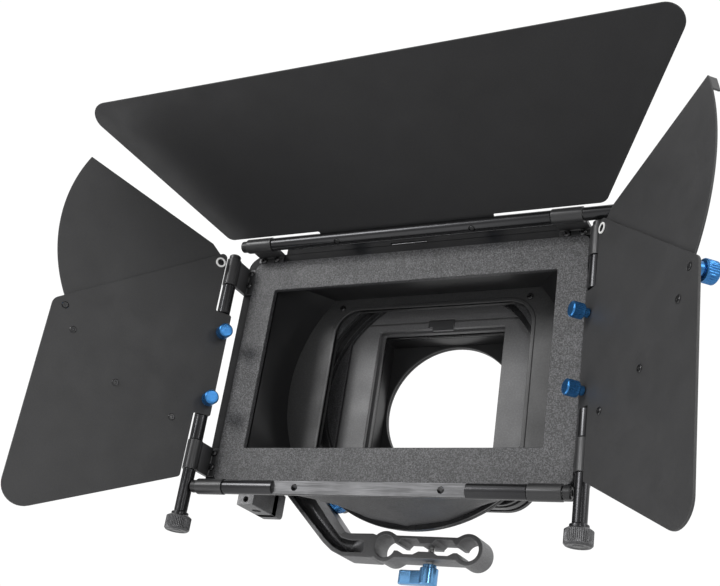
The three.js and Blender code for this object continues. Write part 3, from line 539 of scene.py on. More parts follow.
def liner_loop(r, z, t):
    """Loop of (x, z): straight sides at t = 0 that become arcs at t = 1, flat top and bottom."""
    p = []
    n = 40
    for i in range(n + 1):
        zz = -z + 2 * z * i / n
        p.append(((1 - t) * 104.2 + t * math.sqrt(r * r - zz * zz), zz))
    x1 = p[-1][0]
    top = [(x1 - 2 * x1 * i / 24, z) for i in range(1, 24)]
    left = [(-x, zz) for x, zz in reversed(p)]
    bottom = [(-x1 + 2 * x1 * i / 24, -z) for i in range(1, 24)]
    return p + top + left + bottom


rings = []
for i in range(25):
    t = i / 24
    rings.append([(x, 6.8 + (43.0 - 6.8) * t, z) for x, z in liner_loop(103.5, 68.55 - 0.25 * t, t)])
for i in range(25):
    t = 1 - i / 24
    rings.append([(x, 7.4 + (42.7 - 7.4) * t, z) for x, z in inset(liner_loop(103.5, 68.55 - 0.25 * t, t), -1.6)])
liner = rings_mesh(rings, "loop")
piece("liner_moulding", "hood", [(liner, SMOOTH)], "hood_liner", angle=40)

# aperture plate with a raised lip
a1 = math.atan2(68.5, math.sqrt(103.6 ** 2 - 68.5 ** 2))
out = [(103.6 * math.cos(-a1 + 2 * a1 * i / 40), 103.6 * math.sin(-a1 + 2 * a1 * i / 40)) for i in range(41)]
out += [(-x, -z) for x, z in out]
ap = rounded([(-73.4, -59.1), (73.4, -59.1), (73.4, 59.1), (-73.4, 59.1)], 17, 14)
ap_out = rounded([(-76.2, -61.9), (76.2, -61.9), (76.2, 61.9), (-76.2, 61.9)], 19.8, 14)
plate = prism(out, -45.6, -43, ALONG_Y, holes=[ap], bevel=0.35)
lip = prism(ap_out, -48.3, -42.5, ALONG_Y, holes=[ap], bevel=0.5, res=3)
parts = [(plate, PLATE), (lip, PLATE)]
for sx in (-1, 1):
    for sz in (-1, 1):
        parts += screw_head((sx * 70.8, 42.9, sz * 61.6), (0, -1, 0), 2.2, 1.1, cross=True)
piece("aperture_moulding", "hood", parts, "aperture_plate")

AXIS_Y = basis((0, 0, 1), (1, 0, 0), (0, 1, 0))
ring = turned([(83, 48.9), (97, 48.9), (97, 50.7), (95.2, 51.1), (93.8, 51.9), (93.6, 53.4), (83, 53.4)], AXIS_Y, 160, fillet=0.25, closed=True)
piece("fixed_ring_moulding", "hood", [(ring, RING)], "fixed_ring")
ring = turned([(79, 53.7), (93.2, 53.7), (95.8, 54.6), (95.8, 55.5), (95.1, 55.8), (95.8, 56.1), (95.8, 57), (94.6, 58), (79, 58)], AXIS_Y, 160, fillet=0.2, closed=True)
piece("stage_ring_moulding", "stage", [(ring, RING)], "stage_ring")

# ------------------------------------------------------------------ filter stage
sq = rrect(75.8, 75.8, 20, 14)


def stage_u(d):
    """Outline of the stage body open at the top, d inside its outer face."""
    q = 75.8 - d
    return rounded([(-q, -q), (q, -q), (q, q), (70.4, q), (70.4, -60.4), (-70.4, -60.4), (-70.4, q), (-q, q)], [20 - d, 20 - d, 2.2, 1.0, 1.2, 1.2, 1.0, 2.2], 12)


port = [(max(-68.0, min(68.0, x)), min(72.0, z)) for x, z in circ(79, 216)]
clean = []
for q in port:
    if not clean or math.dist(q, clean[-1]) > 0.05:
        clean.append(q)
h0 = prism(circ(86, 160), -61.3, -58.3, ALONG_Y, holes=[clean], bevel=0.5, res=3)
parts = [(h0, ABS)]
for y0, y1, d in ((61.0, 63.6, 0), (63.2, 67.4, 1.1), (67.0, 72.2, 0), (71.8, 76.0, 1.1), (75.6, 77.2, 0)):
    parts.append((prism(stage_u(d), -y1, -y0, ALONG_Y, bevel=0.35 if d == 0 else 0.05, res=3), RING))
parts.append((prism(sq, -79.7, -76.9, ALONG_Y, holes=[rounded(rect(-50.5, -50.5, 50.5, 50.5), 1.5, 5)], bevel=1.0, res=3), RING))
parts.append((prism(rrect(58, 58, 14, 12), -93, -79.4, ALONG_Y, holes=[rounded(rect(-50.5, -50.5, 50.5, 50.5), 1.5, 5)], bevel=0.1, res=2), SMOOTH))
parts.append((prism(rrect(58, 58, 14, 12), -95, -92.8, ALONG_Y, holes=[circ(49.1, 128)], bevel=0.6, res=3), SMOOTH))
for sx in (-1, 1):
    for sz in (-1, 1):
        parts += screw_head((sx * 64, 79.6, sz * 64), (0, 1, 0), 2.4, 0.9, cross=True)
piece("stage_moulding", "stage", parts, "stage_housing")

for name, y in (("front", 61.7), ("rear", 69.3)):
    o = rounded([(-70, -60), (70, -60), (70, 70), (24, 70), (21, 97), (-21, 97), (-24, 70), (-70, 70)], [3, 3, 3, 3, 5, 5, 3, 3], 6)
    w = rounded([(-47.7, -50.4), (47.7, -50.4), (47.7, 50.4), (-47.7, 50.4)], 1.6, 5)
    f = prism(o, -(y + 3.0), -y, ALONG_Y, holes=[w], bevel=0.35)
    f = cut(f, prism(rect(-71, 54.6, 71, 56), -(y + 1.8), -(y - 1), ALONG_Y, bevel=0.02))
    if name == "front":
        f = cut(f, prism(rounded(rect(-10, 51.2, 10, 57), 0.6, 4), -(y + 1.8), -(y - 1), ALONG_Y, bevel=0.02))
    r = prism(o, -(y + 7.2), -(y + 2.5), ALONG_Y, holes=[rrect(51, 52, 2)], bevel=0.35)
    parts = [(f, TRAY), (r, TRAY)]
    for k in range(4):      # grip ribs on the tab
        for yy in (y + 0.27, y + 6.93):
            rib = prism(rounded(rect(-14, 86 + 2.4 * k, 14, 87.1 + 2.4 * k), 0.5, 3), -(yy + 0.35), -(yy - 0.35), ALONG_Y, bevel=0.2)
            parts.append((rib, TRAY))
    piece("tray_moulding_" + name, "tray_" + name, parts, "filter_tray_" + name)

c1 = prism(rounded(rect(-9.5, 51.5, 9.5, 56.6), 0.8, 4), -63.2, -61.9, ALONG_Y, bevel=0.3)
c2 = prism(rounded(rect(-6.5, 48.6, 9.5, 52.2), 0.8, 4), -62.7, -61.6, ALONG_Y, bevel=0.25)
piece("clip_leaf", "tray_front", [(c1, CLIP_AND_HIGHLIGHT_METAL), (c2, CLIP_AND_HIGHLIGHT_METAL)], "filter_clip")

prof = [(49.1, 95.3), (59, 95.3), (60, 96), (60, 96.3), (59.6, 96.5), (59.6, 96.7), (60, 96.9)]
prof += [(60, 97.2), (59, 98), (49.9, 98), (49.1, 97.4)]
piece("adapter_ring", "stage", [(turned(prof, AXIS_Y, 128, fillet=0.2, closed=True), HINGE)], "lens_adapter")


# ------------------------------------------------------------------ rod clamp, arm, swing hinge
def arc(cx, cy, r, a0, a1, n=36):
    return [(cx + r * math.cos(a0 + (a1 - a0) * i / n), cy + r * math.sin(a0 + (a1 - a0) * i / n)) for i in range(n + 1)]


s0, s1, rz = -102.8, -97.8, -100.3
ra, rb = math.atan2(s0 - rz, -math.sqrt(7.6 ** 2 - (s0 - rz) ** 2)), math.atan2(s1 - rz, -math.sqrt(7.6 ** 2 - (s1 - rz) ** 2))
right_bore = arc(30, rz, 7.6, ra, rb, 56)
up = [(20.3, s1), (20.3, rz + 3.4), (18.2, rz + 5.6), (7.0, rz + 5.6), (4.9, rz + 3.4), (4.9, s1)]
low = [(4.9, s0), (9.0, rz - 4.6), (16.2, rz - 4.6), (20.3, s0)]
keyhole = right_bore + up + [(-x, z) for x, z in reversed(up)] + [(-x, z) for x, z in reversed(right_bore)] + [(-x, z) for x, z in reversed(low)] + low
clean = []
for p in keyhole:
    if not clean or math.dist(p, clean[-1]) > 0.12:
        clean.append(p)
keyhole = clean

arm_top = [(-131.5, -31), (-131.5, -50.3), (-112, -68.2), (-78, -99.6), (-70.5, -105), (-62, -108.4), (-40, -108.6)]
clamp = arc(-30, rz, 10.5, -2.35, -1.15, 10) + [(-22, -107.6), (22, -107.6)] + arc(30, rz, 10.5, -1.99, 1.99, 40) + [(22, -92.6), (-22, -92.6)] + arc(-30, rz, 10.5, 1.15, 2.35, 10)
inner = [(-40, -92.0), (-58.5, -92.4), (-61.5, -91.6), (-83.4, -68.1), (-104, -45.8), (-104, -31)]
arm_out = arm_top + clamp + inner
rad = [1, 3, 8, 12, 8, 6, 3] + [0] * len(clamp) + [3, 1.5, 2.5, 4, 3, 1]
arm_out = rounded(arm_out, rad, 8)
chan = rounded([(-109, -62.8), (-105.5, -62.8), (-100, -58.2), (-75.2, -85.3), (-64.5, -95.6), (-57, -97.2), (-46, -97.2), (-46, -105), (-61.8, -105.3), (-69.5, -102), (-77, -96.5), (-110.5, -66)],
               [1, 1, 2, 3, 6, 2, 1.6, 1.6, 6, 6, 4, 2], 6)
front_l = prism(arm_out, -86.4, -80.5, ALONG_Y, holes=[keyhole, chan], bevel=0.45, res=3)
LX, LZ = -74.3, -69.4
relief = circ(8, 72, LX, LZ)
back_l = prism(arm_out, -101.5, -86.0, ALONG_Y, holes=[keyhole], bevel=0.45, res=3)
front_l = cut(front_l, prism(relief, -90, -84, ALONG_Y, bevel=0.05))
back_l = cut(back_l, prism(relief, -92.5, -84, ALONG_Y, bevel=0.05), prism(circ(2.6, 32, 0, 91), -112, -102.9, ALONG_Z, bevel=0.02))
back_l = cut(back_l, prism([(-60, -92.4), (-84.1, -66.5), (-89.5, -66.5), (-70, -87.4), (-67.5, -92.4)], -104, -92.5, ALONG_Y, bevel=0.02))
pad = prism(rounded([(-131.5, -62), (-112, -62), (-112, -31), (-131.5, -31)], [4, 2, 1, 1], 5), -82, -76.7, ALONG_Y, bevel=0.4)
lug = prism([(-93, LZ - 3.4), (LX - 3.5, LZ - 3.4)] + arc(LX, LZ, 4.8, -2.35, 1.86, 30) + [(-93, LZ + 4.6)], -98.3, -92.5, ALONG_Y, holes=[circ(2.6, 32, LX, LZ)], bevel=0.35)


def along(pts, n):
    """n + 1 points at equal steps along a line of points."""
    acc = [0]
    for a, b in zip(pts, pts[1:]):
        acc.append(acc[-1] + math.dist(a, b))
    out = []
    for i in range(n + 1):
        s = acc[-1] * i / n
        k = max(j for j in range(len(acc)) if acc[j] <= s + 1e-9)
        k = min(k, len(pts) - 2)
        t = (s - acc[k]) / (acc[k + 1] - acc[k])
        out.append((pts[k][0] + (pts[k + 1][0] - pts[k][0]) * t, pts[k][1] + (pts[k + 1][1] - pts[k][1]) * t))
    return out


# the channel's floor is a trough: it drops from the outer edge and comes up to the inner one
lo_edge = along([(-112, -64), (-77, -96.5), (-69.5, -102), (-61.8, -105.4), (-45.6, -105.4)], 60)
hi_edge = along([(-98, -59), (-75.0, -84.6), (-64.4, -95.0), (-57, -96.8), (-45.6, -96.8)], 60)
for _ in range(3):
    lo_edge = [lo_edge[0]] + [((a[0] + 2 * b[0] + c[0]) / 4, (a[1] + 2 * b[1] + c[1]) / 4) for a, b, c in zip(lo_edge, lo_edge[1:], lo_edge[2:])] + [lo_edge[-1]]
    hi_edge = [hi_edge[0]] + [((a[0] + 2 * b[0] + c[0]) / 4, (a[1] + 2 * b[1] + c[1]) / 4) for a, b, c in zip(hi_edge, hi_edge[1:], hi_edge[2:])] + [hi_edge[-1]]
bm = bmesh.new()
grid = []
for i, (a, b) in enumerate(zip(lo_edge, hi_edge)):
    end = min(1.0, (60 - i) / 9)
    row = []
    for j in range(17):
        t = j / 16
        dip = (1 - (2 * t - 1) ** 2) ** 0.8
        deep = 81.4 + (4.3 * dip * (1.15 - 0.35 * t)) * end + 0.6 * (1 - end)
        row.append(bm.verts.new((a[0] + (b[0] - a[0]) * t, deep, a[1] + (b[1] - a[1]) * t)))
    grid.append(row)
back = [[bm.verts.new((v.co.x, 86.3, v.co.z)) for v in row] for row in grid]
n, m = len(grid), 17
for i in range(n - 1):
    for j in range(m - 1):
        bm.faces.new((grid[i][j], grid[i + 1][j], grid[i + 1][j + 1], grid[i][j + 1]))
        bm.faces.new((back[i][j], back[i][j + 1], back[i + 1][j + 1], back[i + 1][j]))
for i in range(n - 1):
    bm.faces.new((grid[i][0], back[i][0], back[i + 1][0], grid[i + 1][0]))
    bm.faces.new((grid[i][m - 1], grid[i + 1][m - 1], back[i + 1][m - 1], back[i][m - 1]))
for j in range(m - 1):
    bm.faces.new((grid[0][j], grid[0][j + 1], back[0][j + 1], back[0][j]))
    bm.faces.new((grid[n - 1][j], back[n - 1][j], back[n - 1][j + 1], grid[n - 1][j + 1]))
bmesh.ops.recalc_face_normals(bm, faces=bm.faces)
trough = bpy.data.meshes.new("tmp")
bm.to_mesh(trough); bm.free()
# the trough floor carries the darker channel material, whose tone is partly painted shade
piece("arm_casting", "support", [(front_l, ARM), (back_l, ARM), (trough, SATIN_SHADED_CHANNEL), (pad, ARM), (lug, ARM)], "support_arm")

blk = prism(rounded([(-131, 45), (-117, 45), (-117, 76.4), (-131, 76.4)], [0.8, 1.2, 0.8, 0.8], 4), -84.3, -31.3, ALONG_Z, bevel=0.5)
blk = cut(blk, prism(circ(3.3, 40, -123.5, 60), -90, -25, ALONG_Z, bevel=0.02), prism(circ(2.1, 32, -124, -80.2), -57, -40, ALONG_Y, bevel=0.02), bevel=0.22)
foot = prism(rounded([(70, -84.3), (85.3, -84.3), (85.3, -66.3), (70, -66.3)], [0.5, 3.5, 1, 0.5], 6), -131, -117, ALONG_X, bevel=0.5)
piece("hinge_block_body", "support", [(blk, ARM), (foot, ARM)], "swing_hinge_block")
pin = turned([(0, -81.5), (2.5, -81.5), (3, -81), (3, -3.6), (2.4, -3), (0, -3)], axis_frame((-123.5, 60, 0), (0, 0, 1)), 48, fillet=0.2)
piece("pin_rod", "support", [(pin, STEEL)], "swing_pin")
lug = prism(circ(7, 72, -123.5, 60), -30.7, -8, ALONG_Z, holes=[circ(3.3, 40, -123.5, 60)], bevel=0.4)
arm2 = prism(rounded([(-129.3, 49.2), (-98.6, 48.9), (-98.6, 55.2), (-117.5, 56.5), (-118, 58.4), (-129, 58.6)], [3, 0.6, 0.6, 2, 1, 3], 5), -30.7, -8, ALONG_Z, bevel=0.4)
arm2 = cut(arm2, prism(circ(3.3, 40, -123.5, 60), -35, -3, ALONG_Z, bevel=0.02))
piece("lug_casting", "hood", [(lug, HINGE), (arm2, HINGE)], "swing_lug")

at = axis_frame((LX, 0, LZ), (0, 1, 0))
parts = [(turned([(0, 90.8), (2.2, 90.8), (2.2, 100.7), (1.9, 101), (0, 101)], at, 36, fillet=0.1), STEEL),
         (turned([(0, 90.6), (4.5, 90.6), (4.5, 92.2), (0, 92.2)], at, 48, fillet=0.2), BLUE)]
parts += [(turned([(0, 85.0), (3.4, 85.0), (3.8, 84.5), (6.4, 84.5), (7, 85.1), (7, 90.6), (6.4, 91.2), (0, 91.2)], at, fillet=0.2, teeth=28, depth=0.4, band=(85.3, 90.5)), BLUE)]
piece("swing_knob_blue", "swing_lock", parts, "swing_lock_knob")

at = axis_frame((0, 91, 0), (0, 0, 1), (1, 0, 0))
parts = [(turned([(0, -110), (2.2, -110), (2.2, -96.4), (0, -96.2)], at, 36, fillet=0.1), STEEL),
         (turned([(0, -111.8), (4.7, -111.8), (4.7, -109.2), (0, -109.2)], at, 48, fillet=0.3), LEVER),
         (turned([(0, -123.5), (5.2, -123.5), (6.3, -122.4), (6.3, -111.9), (5.9, -111.5), (0, -111.5)], at, 64, fillet=0.4), LEVER),
         (prism(rounded([(-21.5, 88.2), (-12, 88.0), (-2, 86.4), (2, 86.4), (2, 95.6), (-2, 95.6), (-12, 94.0), (-21.5, 93.8)], [2.4, 2, 2, 0.5, 0.5, 2, 2, 2.4], 6), -123.1, -113.6, ALONG_Z, bevel=0.9, res=3), LEVER),
         (turned([(0, -124.2), (1.4, -124.2), (2.0, -123.6), (2.0, -123.2), (0, -123.2)], at, 32, fillet=0.1), STEEL)]
piece("clamp_lever_blue", "clamp_lever", parts, "clamp_lever")

# ------------------------------------------------------------------ hinge brackets
for sg, side in ((-1, "left"), (1, "right")):
    for key, z0, z1 in (("upper", 56.7, 76.5), ("lower", -77.7, -58.0)):
        X = sg * HX
        bar = prism(circ(5.1, 72, X, HY), z0, z1, ALONG_Z, holes=[circ(3.4, 48, X, HY)], bevel=0.35)
        o, i = X - sg * 1.4, X - sg * 4.2
        web = rounded([(o, HY + 2.2), (i, HY + 2.2), (i, 1.2), (sg * 123.4, 1.2), (sg * 123.4, 2.7), (o, 2.7)], [0, 0, 1.2, 0.4, 0.4, 0.4], 4)
        web = prism(web, z0, z1, ALONG_Z, bevel=0.3)
        web = cut(web, prism(circ(4.2, 48, X, HY), z0 - 1, z1 + 1, ALONG_Z, bevel=0.02))
        piece("leaf_%s_%s" % (side, key), "hood", [(bar, HINGE), (web, HINGE)], "%s_bracket_%s" % (side, key))
for sz, level, Z in ((1, "top", HZT), (-1, "bottom", HZB)):
    for sg, side in ((-1, "left"), (1, "right")):
        x0, x1 = (102, 122) if sg > 0 else (-122, -102)
        bar = prism(circ(5.1, 72, HY, Z), x0, x1, ALONG_X, holes=[circ(3.4, 48, HY, Z)], bevel=0.35)
        e, i, w = sz * 88, sz * 81.2, sz * 85.4
        web = rounded([(HY + 2.2, w), (1.2, w), (1.2, i), (2.7, i), (2.7, e), (HY + 2.2, e)], [0, 1.0, 0.4, 0.4, 0.4, 0], 4)
        web = prism(web, x0, x1, ALONG_X, bevel=0.3)
        web = cut(web, prism(circ(4.2, 48, HY, Z), x0 - 1, x1 + 1, ALONG_X, bevel=0.02))
        piece("leaf_%s_%s" % (level, side), "hood", [(bar, HINGE), (web, HINGE)], "%s_bracket_%s" % (level, side))


# ------------------------------------------------------------------ bars
def bar_parts(at, half_or_span, seat, seat_dir, holes):
    """Round bar along local z from a to b with journals, a milled seat and cross holes.
    seat = (z0, z1), seat_dir = direction (local x, y) of the seat's normal."""
    a, b, ja, jb = half_or_span
    body = turned([(0, a), (4.15, a), (4.5, a + 0.35), (4.5, b - 0.35), (4.15, b), (0, b)], Matrix.Identity(4), 96, fillet=0.15)
    j = turned([(0, ja), (3, ja), (3, a + 2), (0, a + 2)], Matrix.Identity(4), 48, fillet=0.2)
    j2 = turned([(0, b - 2), (3, b - 2), (3, jb), (0, jb)], Matrix.Identity(4), 48, fillet=0.2)
    d = Vector((seat_dir[0], seat_dir[1], 0)).normalized()
    m = basis(Vector((0, 0, 1)), d.cross(Vector((0, 0, 1))), d)
    # m: local x runs along the bar, local z is the seat's normal
    cutter = prism(rect(seat[0], -6, seat[1], 6), 1.5, 9, m, bevel=0.01)
    drills = [prism(circ(2.2, 40, h, 0), -9, 9, m, bevel=0.01) for h in holes]
    body = cut(body, cutter, *drills, bevel=0.18)
    for q in (body, j, j2):
        q.transform(at)
    # give the milled flat its own finish
    n = (at.to_3x3() @ d).normalized()
    inv = at.inverted()

    def is_flat(f):
        return f.normal.dot(n) > 0.99 and (inv @ f.calc_center_median()).xy.dot(d.xy) < 1.6
    flat, rest = bpy.data.meshes.new("tmp"), bpy.data.meshes.new("tmp")
    for me, want in ((flat, True), (rest, False)):
        bm = bmesh.new(); bm.from_mesh(body)
        bmesh.ops.delete(bm, geom=[f for f in bm.faces if is_flat(f) != want], context="FACES")
        bm.to_mesh(me); bm.free()
    return [(rest, BARS), (flat, MILLED), (j, STEEL), (j2, STEEL)]


def local_dir(at, v):
    return (at.to_3x3().inverted() @ Vector(v)).xy


AX_TOP = axis_frame((0, HY, HZT), (1, 0, 0))
AX_BOT = axis_frame((0, HY, HZB), (1, 0, 0))
S, N, O, U = flag_axes("top")
piece("top_bar_rod", "top_leaf", bar_parts(AX_TOP, (-101.7, 101.7, -122, 122), (-65, 65), local_dir(AX_TOP, N), (-49.2, 49.2)), "top_bar")
piece("bottom_bar_rod", "bottom_leaf", bar_parts(AX_BOT, (-101.7, 101.7, -122, 122), (-65, 65), local_dir(AX_BOT, (0, -1, 0)), (-49.2, 49.2)), "bottom_bar")
for side in ("left", "right"):
    S, N, O, U = flag_axes(side)
    at = axis_frame(O, (0, 0, 1))
    piece(side + "_bar_rod", side + "_leaf", bar_parts(at, (-57.7, 56.4, -77.7, 76.5), (-41, 35), local_dir(at, -N), (18.4, -30.2)), side + "_bar")


def cap(at, a, b, socket=False):
    p = [(0, a), (3.3, a), (4.1, a + 0.8), (4.1, b - 0.2), (3.9, b), (0, b)]
    if socket:
        p = [(0, a + 2), (1.9, a + 2), (1.9, a), (3.3, a), (4.1, a + 0.8), (4.1, b - 0.2), (3.9, b), (0, b)]
    return [(turned(p, at, 64, fillet=0.15), HINGE)]


piece("cap_top", "top_leaf", cap(axis_frame((0, HY, HZT), (1, 0, 0)), -127, -122.3), "top_cap")
piece("cap_bottom_left", "bottom_leaf", cap(axis_frame((0, HY, HZB), (1, 0, 0)), -127, -122.3, True), "bottom_cap_left")
piece("cap_bottom_right", "bottom_leaf", cap(axis_frame((0, HY, HZB), (-1, 0, 0)), -127, -122.3, True), "bottom_cap_right")


def friction(at):
    """Shaft from local z 0 and knurled knob to local z 40.5."""
    return [(turned([(0, 0), (4.3, 0), (4.3, 28.0), (5.6, 28.7), (5.6, 31), (0, 31)], at, 72, fillet=0.3), BARS),
            (turned([(0, 30.5), (6.4, 30.5), (8.2, 31.7), (8.2, 39.4), (7.1, 40.5), (5.6, 40.5), (5.2, 40.15), (3.3, 40.15), (2.9, 40.5), (0, 40.5)], at, fillet=0.25, teeth=44, depth=0.38, band=(31.6, 39.5)), KNURL)]


piece("top_friction_unit", "top_friction", friction(axis_frame((122.3, HY, HZT), (1, 0, 0))), "top_friction_knob")
for side, sg in (("left", -1), ("right", 1)):
    piece(side + "_friction_unit", side + "_friction", friction(axis_frame((sg * HX, HY, -78.0), (0, 0, -1))), side + "_friction_knob")
    piece("cap_" + side, side + "_leaf", cap(axis_frame((sg * HX, HY, 0), (0, 0, -1)), -80.4, -76.8), side + "_cap")

# ------------------------------------------------------------------ flags, fans and their hardware
PIV = (11.0, 70.0)


def polar(r, a):
    return (PIV[0] + r * math.cos(a * D), PIV[1] + r * math.sin(a * D))


def flag_frame(which):
    """Matrix with local x = s, local y = along the hinge, local z = their cross product, and the sign of n on it."""
    S, N, O, U = flag_axes(which)
    w = S.cross(U)
    return basis(S, U, w, O), (1 if w.dot(N) > 0 else -1)


def on_flag(which, outline, n0, n1, holes=(), bevel=0.25, res=2):
    m, sg = flag_frame(which)
    return prism(outline, sg * n0, sg * n1, m, holes, bevel, res)


def flag_axis(which, p, sign=1):
    S, N, O, U = flag_axes(which)
    return axis_frame(O + S * p[0] + U * p[1], N * sign, S)


P = [(-5.2, -63.5), (5.6, -63.5), (5.6, -136.5), (124, -210.5), (124, 210.5), (5.6, 136.5), (5.6, 63.5), (-5.2, 63.5)]
o = rounded(P, [1.5, 1.2, 7, 11, 11, 7, 1.2, 1.5], 12)
# the top flag takes the darker copy of the flag paint, which is painted shade
piece("top_flag_sheet", "top_leaf", [(on_flag("top", o, 1.8, 3.3, [circ(2.4, 32, 0, -49.2), circ(2.4, 32, 0, 49.2)], 0.3), FLAG_SHADED_TOP)], "top_flag")
for sg, side in ((-1, "left"), (1, "right")):
    at = flag_axis("top", (0, sg * 49.2))
    parts = [(turned([(0, -4.4), (1.5, -4.4), (1.8, -4.0), (1.8, 5.4), (0, 5.4)], at, 32, fillet=0.1), SCREW),
             (turned([(0, 3.6), (2.9, 3.6), (2.9, 6.6), (0, 6.6)], at, 40, fillet=0.15), BLUE)]
    parts += thumb_head(at, 4.9, 6.3, 13.5, 22, BLUE)
    piece("top_thumb_" + side, "top_screw_" + side, parts, "top_flag_screw_" + side)

N1, N0 = -1.8, -3.3
FAN0, FAN1 = -1.5, -0.3
for side in ("left", "right"):
    P = [(6.6, -84.4), (115.3, -135.7), (115.3, 6.2), (6.6, 80.1), (6.6, 34.2), (-5.2, 34.2), (-5.2, -40.2), (6.6, -40.2)]
    o = rounded(P, [2.5, 14, 6, 3, 1.2, 1.5, 1.5, 1.2], 12)
    lock = polar(116.3, -34.6)
    rivets = [polar(118.4, a) for a in (-42.9, -64.1, -85.2)]
    holes = [circ(2.4, 32, 0, 18.4), circ(2.4, 32, 0, -30.2), circ(2.3, 32, *PIV), circ(2.3, 32, *lock)] + [circ(1.9, 32, *q) for q in rivets]
    piece(side + "_flag_sheet", side + "_leaf", [(on_flag(side, o, N0, N1, holes, 0.3), FLAG)], side + "_flag")

    fan = [(PIV[0] - 3.6, PIV[1] + 3.4), (PIV[0] - 3.2, PIV[1] - 3.4)]
    lo = -36
    fan.append((PIV[0] - 4 * math.sin(36 * D) + 4 * math.cos(lo * D), PIV[1] - 4 * math.cos(lo * D) - 4 * math.sin(36 * D)))
    fan += [polar(114, -38 + (22.6 + 38) * i / 72) for i in range(73)]
    fan.append((PIV[0] + 7.6, PIV[1] + 13))
    sheet = on_flag(side, fan, FAN0, FAN1, [circ(2.3, 32, *PIV)], 0.25)
    tab = on_flag(side, [polar(114, 22.4), polar(112.8, 22.4), polar(112.8, 17.2), polar(114, 17.2)], FAN0 + 0.1, FAN1 + 4.6, bevel=0.3)
    piece(side + "_fan_sheet", side + "_fan", [(sheet, FLAG), (tab, FLAG)], side + "_fan")

    at = flag_axis(side, PIV)
    ringm = turned([(2.35, N0 - 1.0), (3.6, N0 - 1.0), (3.6, N0 - 0.3), (2.35, N0 - 0.3)], at, 48, fillet=0.12, closed=True)
    parts = [(ringm, WASHER),
             (turned([(0, N0 - 0.75), (2.3, N0 - 0.8), (2.3, FAN1 + 0.8), (0, FAN1 + 0.8)], at, 40, fillet=0.1), SCREW),
             (turned([(0, FAN1 + 0.3), (3.9, FAN1 + 0.3), (3.9, FAN1 + 0.7), (3.3, FAN1 + 1.3), (0, FAN1 + 1.3)], at, 48, fillet=0.15), STEEL)]
    piece(side + "_pivot_rivet", side + "_leaf", parts, side + "_fan_pivot")

    at = flag_axis(side, lock)
    parts = [(turned([(0, N0 - 0.35), (1.7, N0 - 0.35), (2, N0 - 0.1), (2, FAN1 + 1), (0, FAN1 + 1)], at, 36, fillet=0.1), HINGE),
             (turned([(0, FAN1 + 0.3), (4.3, FAN1 + 0.3), (4.3, FAN1 + 3.9), (0, FAN1 + 3.9)], at, 56, fillet=0.25), BLUE)]
    parts += thumb_head(at, 6.3, FAN1 + 3.8, FAN1 + 11.7, 26, BLUE, 0.42)
    piece(side + "_fan_lock_blue", side + "_fan_lock", parts, side + "_fan_lock_knob")

    for i, q in enumerate(rivets):
        at = flag_axis(side, q)
        parts = [(turned([(0.5, N0 - 0.3), (0.7, N0 - 0.75), (1.9, N0 - 0.72), (2.4, N0 - 0.3)], at, 40, fillet=0.1, closed=True), SCREW),
                 (turned([(0, N0 - 0.45), (1.6, N0 - 0.45), (1.6, FAN1 + 0.8), (0, FAN1 + 0.8)], at, 32, fillet=0.05), SCREW),
                 (turned([(0, N1 + 0.3), (3.4, N1 + 0.3), (3.4, FAN1), (0, FAN1)], at, 40, fillet=0.1), HINGE),
                 (turned([(0, FAN1 + 0.3), (5.2, FAN1 + 0.3), (5.2, FAN1 + 0.9), (4.9, FAN1 + 1.1), (2.4, FAN1 + 1.1), (2.2, FAN1 + 1.5), (0, FAN1 + 1.6)], at, 48, fillet=0.1), HINGE)]
        piece("%s_guide_head_%d" % (side, i + 1), side + "_leaf", parts, "%s_guide_rivet_%d" % (side, i + 1))

    for key, z in (("upper", 18.4), ("lower", -30.2)):
        at = flag_axis(side, (0, z), -1)
        parts = [(turned([(0, -4.0), (1.5, -4.0), (1.8, -3.7), (1.8, 5.4), (0, 5.4)], at, 32, fillet=0.1), SCREW),
                 (turned([(0, 3.6), (2.9, 3.6), (2.9, 7.1), (0, 7.1)], at, 40, fillet=0.15), BLUE)]
        parts += thumb_head(at, 4.9, 6.8, 14.9, 22, BLUE)
        piece("%s_thumb_%s" % (side, key), "%s_screw_%s" % (side, key), parts, "%s_flag_screw_%s" % (side, key))

# ------------------------------------------------------------------ floor, light, camera
bm = bmesh.new()
g = [[bm.verts.new((-6 + 12 * i / 8, -6 + 12 * j / 8, -0.62)) for j in range(9)] for i in range(9)]
for i in range(8):
    for j in range(8):
        bm.faces.new((g[i][j], g[i + 1][j], g[i + 1][j + 1], g[i][j + 1]))
me = bpy.data.meshes.new("studio_floor")
bm.to_mesh(me); bm.free()
floor = bpy.data.objects.new("studio_floor", me)
me.materials.append(material("pale_floor", (0.80, 0.80, 0.80), 0.7, mottle=0.02, grain=30, grain_bump=0.05))
scene.collection.objects.link(floor)

world = bpy.data.worlds.new("studio")
scene.world = world
world.use_nodes = True
nt = world.node_tree
N, L = nt.nodes, nt.links
bg = N["Background"]
bg.inputs["Color"].default_value = (1, 1, 1, 1)
tc = N.new("ShaderNodeTexCoord")
total = None
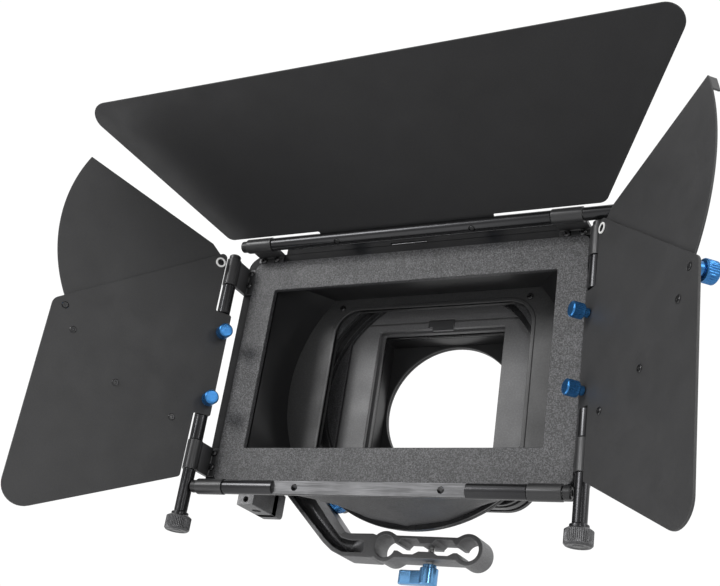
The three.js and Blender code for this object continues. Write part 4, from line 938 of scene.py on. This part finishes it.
# soft patches of light by direction over a dim base, so that gloss has something to show
for direction, inner, outer, level in (((-0.52, -0.74, 0.42), 12, 42, 0.95), ((0.0, 1.0, 0.1), 50, 85, 0.75), ((0.9, -0.1, 0.45), 15, 50, 0.55), ((0.0, -0.1, 1.0), 10, 60, 0.45)):
    dp = N.new("ShaderNodeVectorMath"); dp.operation = "DOT_PRODUCT"
    L.new(tc.outputs["Generated"], dp.inputs[0]); dp.inputs[1].default_value = Vector(direction).normalized()
    mr = N.new("ShaderNodeMapRange"); mr.interpolation_type = "SMOOTHSTEP"
    mr.inputs["From Min"].default_value = math.cos(outer * D); mr.inputs["From Max"].default_value = math.cos(inner * D)
    mr.inputs["To Min"].default_value = 0; mr.inputs["To Max"].default_value = level
    L.new(dp.outputs["Value"], mr.inputs["Value"])
    ad = N.new("ShaderNodeMath"); ad.operation = "ADD"
    L.new(mr.outputs["Result"], ad.inputs[0])
    if total is None:
        ad.inputs[1].default_value = 0.19
    else:
        L.new(total, ad.inputs[1])
    total = ad.outputs["Value"]
lp = N.new("ShaderNodeLightPath")
mx = N.new("ShaderNodeMix")
L.new(lp.outputs["Is Camera Ray"], mx.inputs["Factor"])
L.new(total, mx.inputs["A"])
mx.inputs["B"].default_value = 1.05
L.new(mx.outputs["Result"], bg.inputs["Strength"])
scene.view_settings.view_transform = "Standard"


def area_light(name, loc, target, size, power, size_y=None):
    l = bpy.data.lights.new(name, "AREA")
    l.energy = power
    l.shape = "RECTANGLE"
    l.size = size
    l.size_y = size_y or size
    o = bpy.data.objects.new(name, l)
    o.location = loc
    o.rotation_euler = (Vector(target) - Vector(loc)).to_track_quat("-Z", "Y").to_euler()
    o.visible_camera = False
    scene.collection.objects.link(o)
    return o


area_light("key", (-0.85, -1.3, 0.68), (0, -0.05, 0.1), 0.55, 10.5)
area_light("low_left", (-0.85, -0.25, -0.5), (0, -0.1, 0.15), 0.6, 2.5)
area_light("front_right", (0.75, -1.35, 0.15), (-0.1, -0.04, 0.1), 0.25, 2.6)
area_light("right", (1.3, -0.35, 0.6), (0, -0.05, 0.1), 0.5, 4)

C = Vector((0.310796, -0.595927 - 0.0805, -0.259311 + 0.1003))
fwd = Vector((-0.45665776, 0.789095, 0.41084398))
right = Vector((0.88735623, 0.43709168, 0.14679841))
down = Vector((-0.06373859, 0.4316016, -0.89980968))
cam = bpy.data.cameras.new("camera")
cam.sensor_fit = "HORIZONTAL"
cam.sensor_width = 36
cam.lens = 1119.58 * 36 / 720
cam.clip_start = 0.01
cam.clip_end = 50
co = bpy.data.objects.new("camera", cam)
co.matrix_world = basis(right, -down, -fwd, C)
scene.collection.objects.link(co)
scene.camera = co

# ------------------------------------------------------------------ final scene update
bpy.context.view_layer.update()
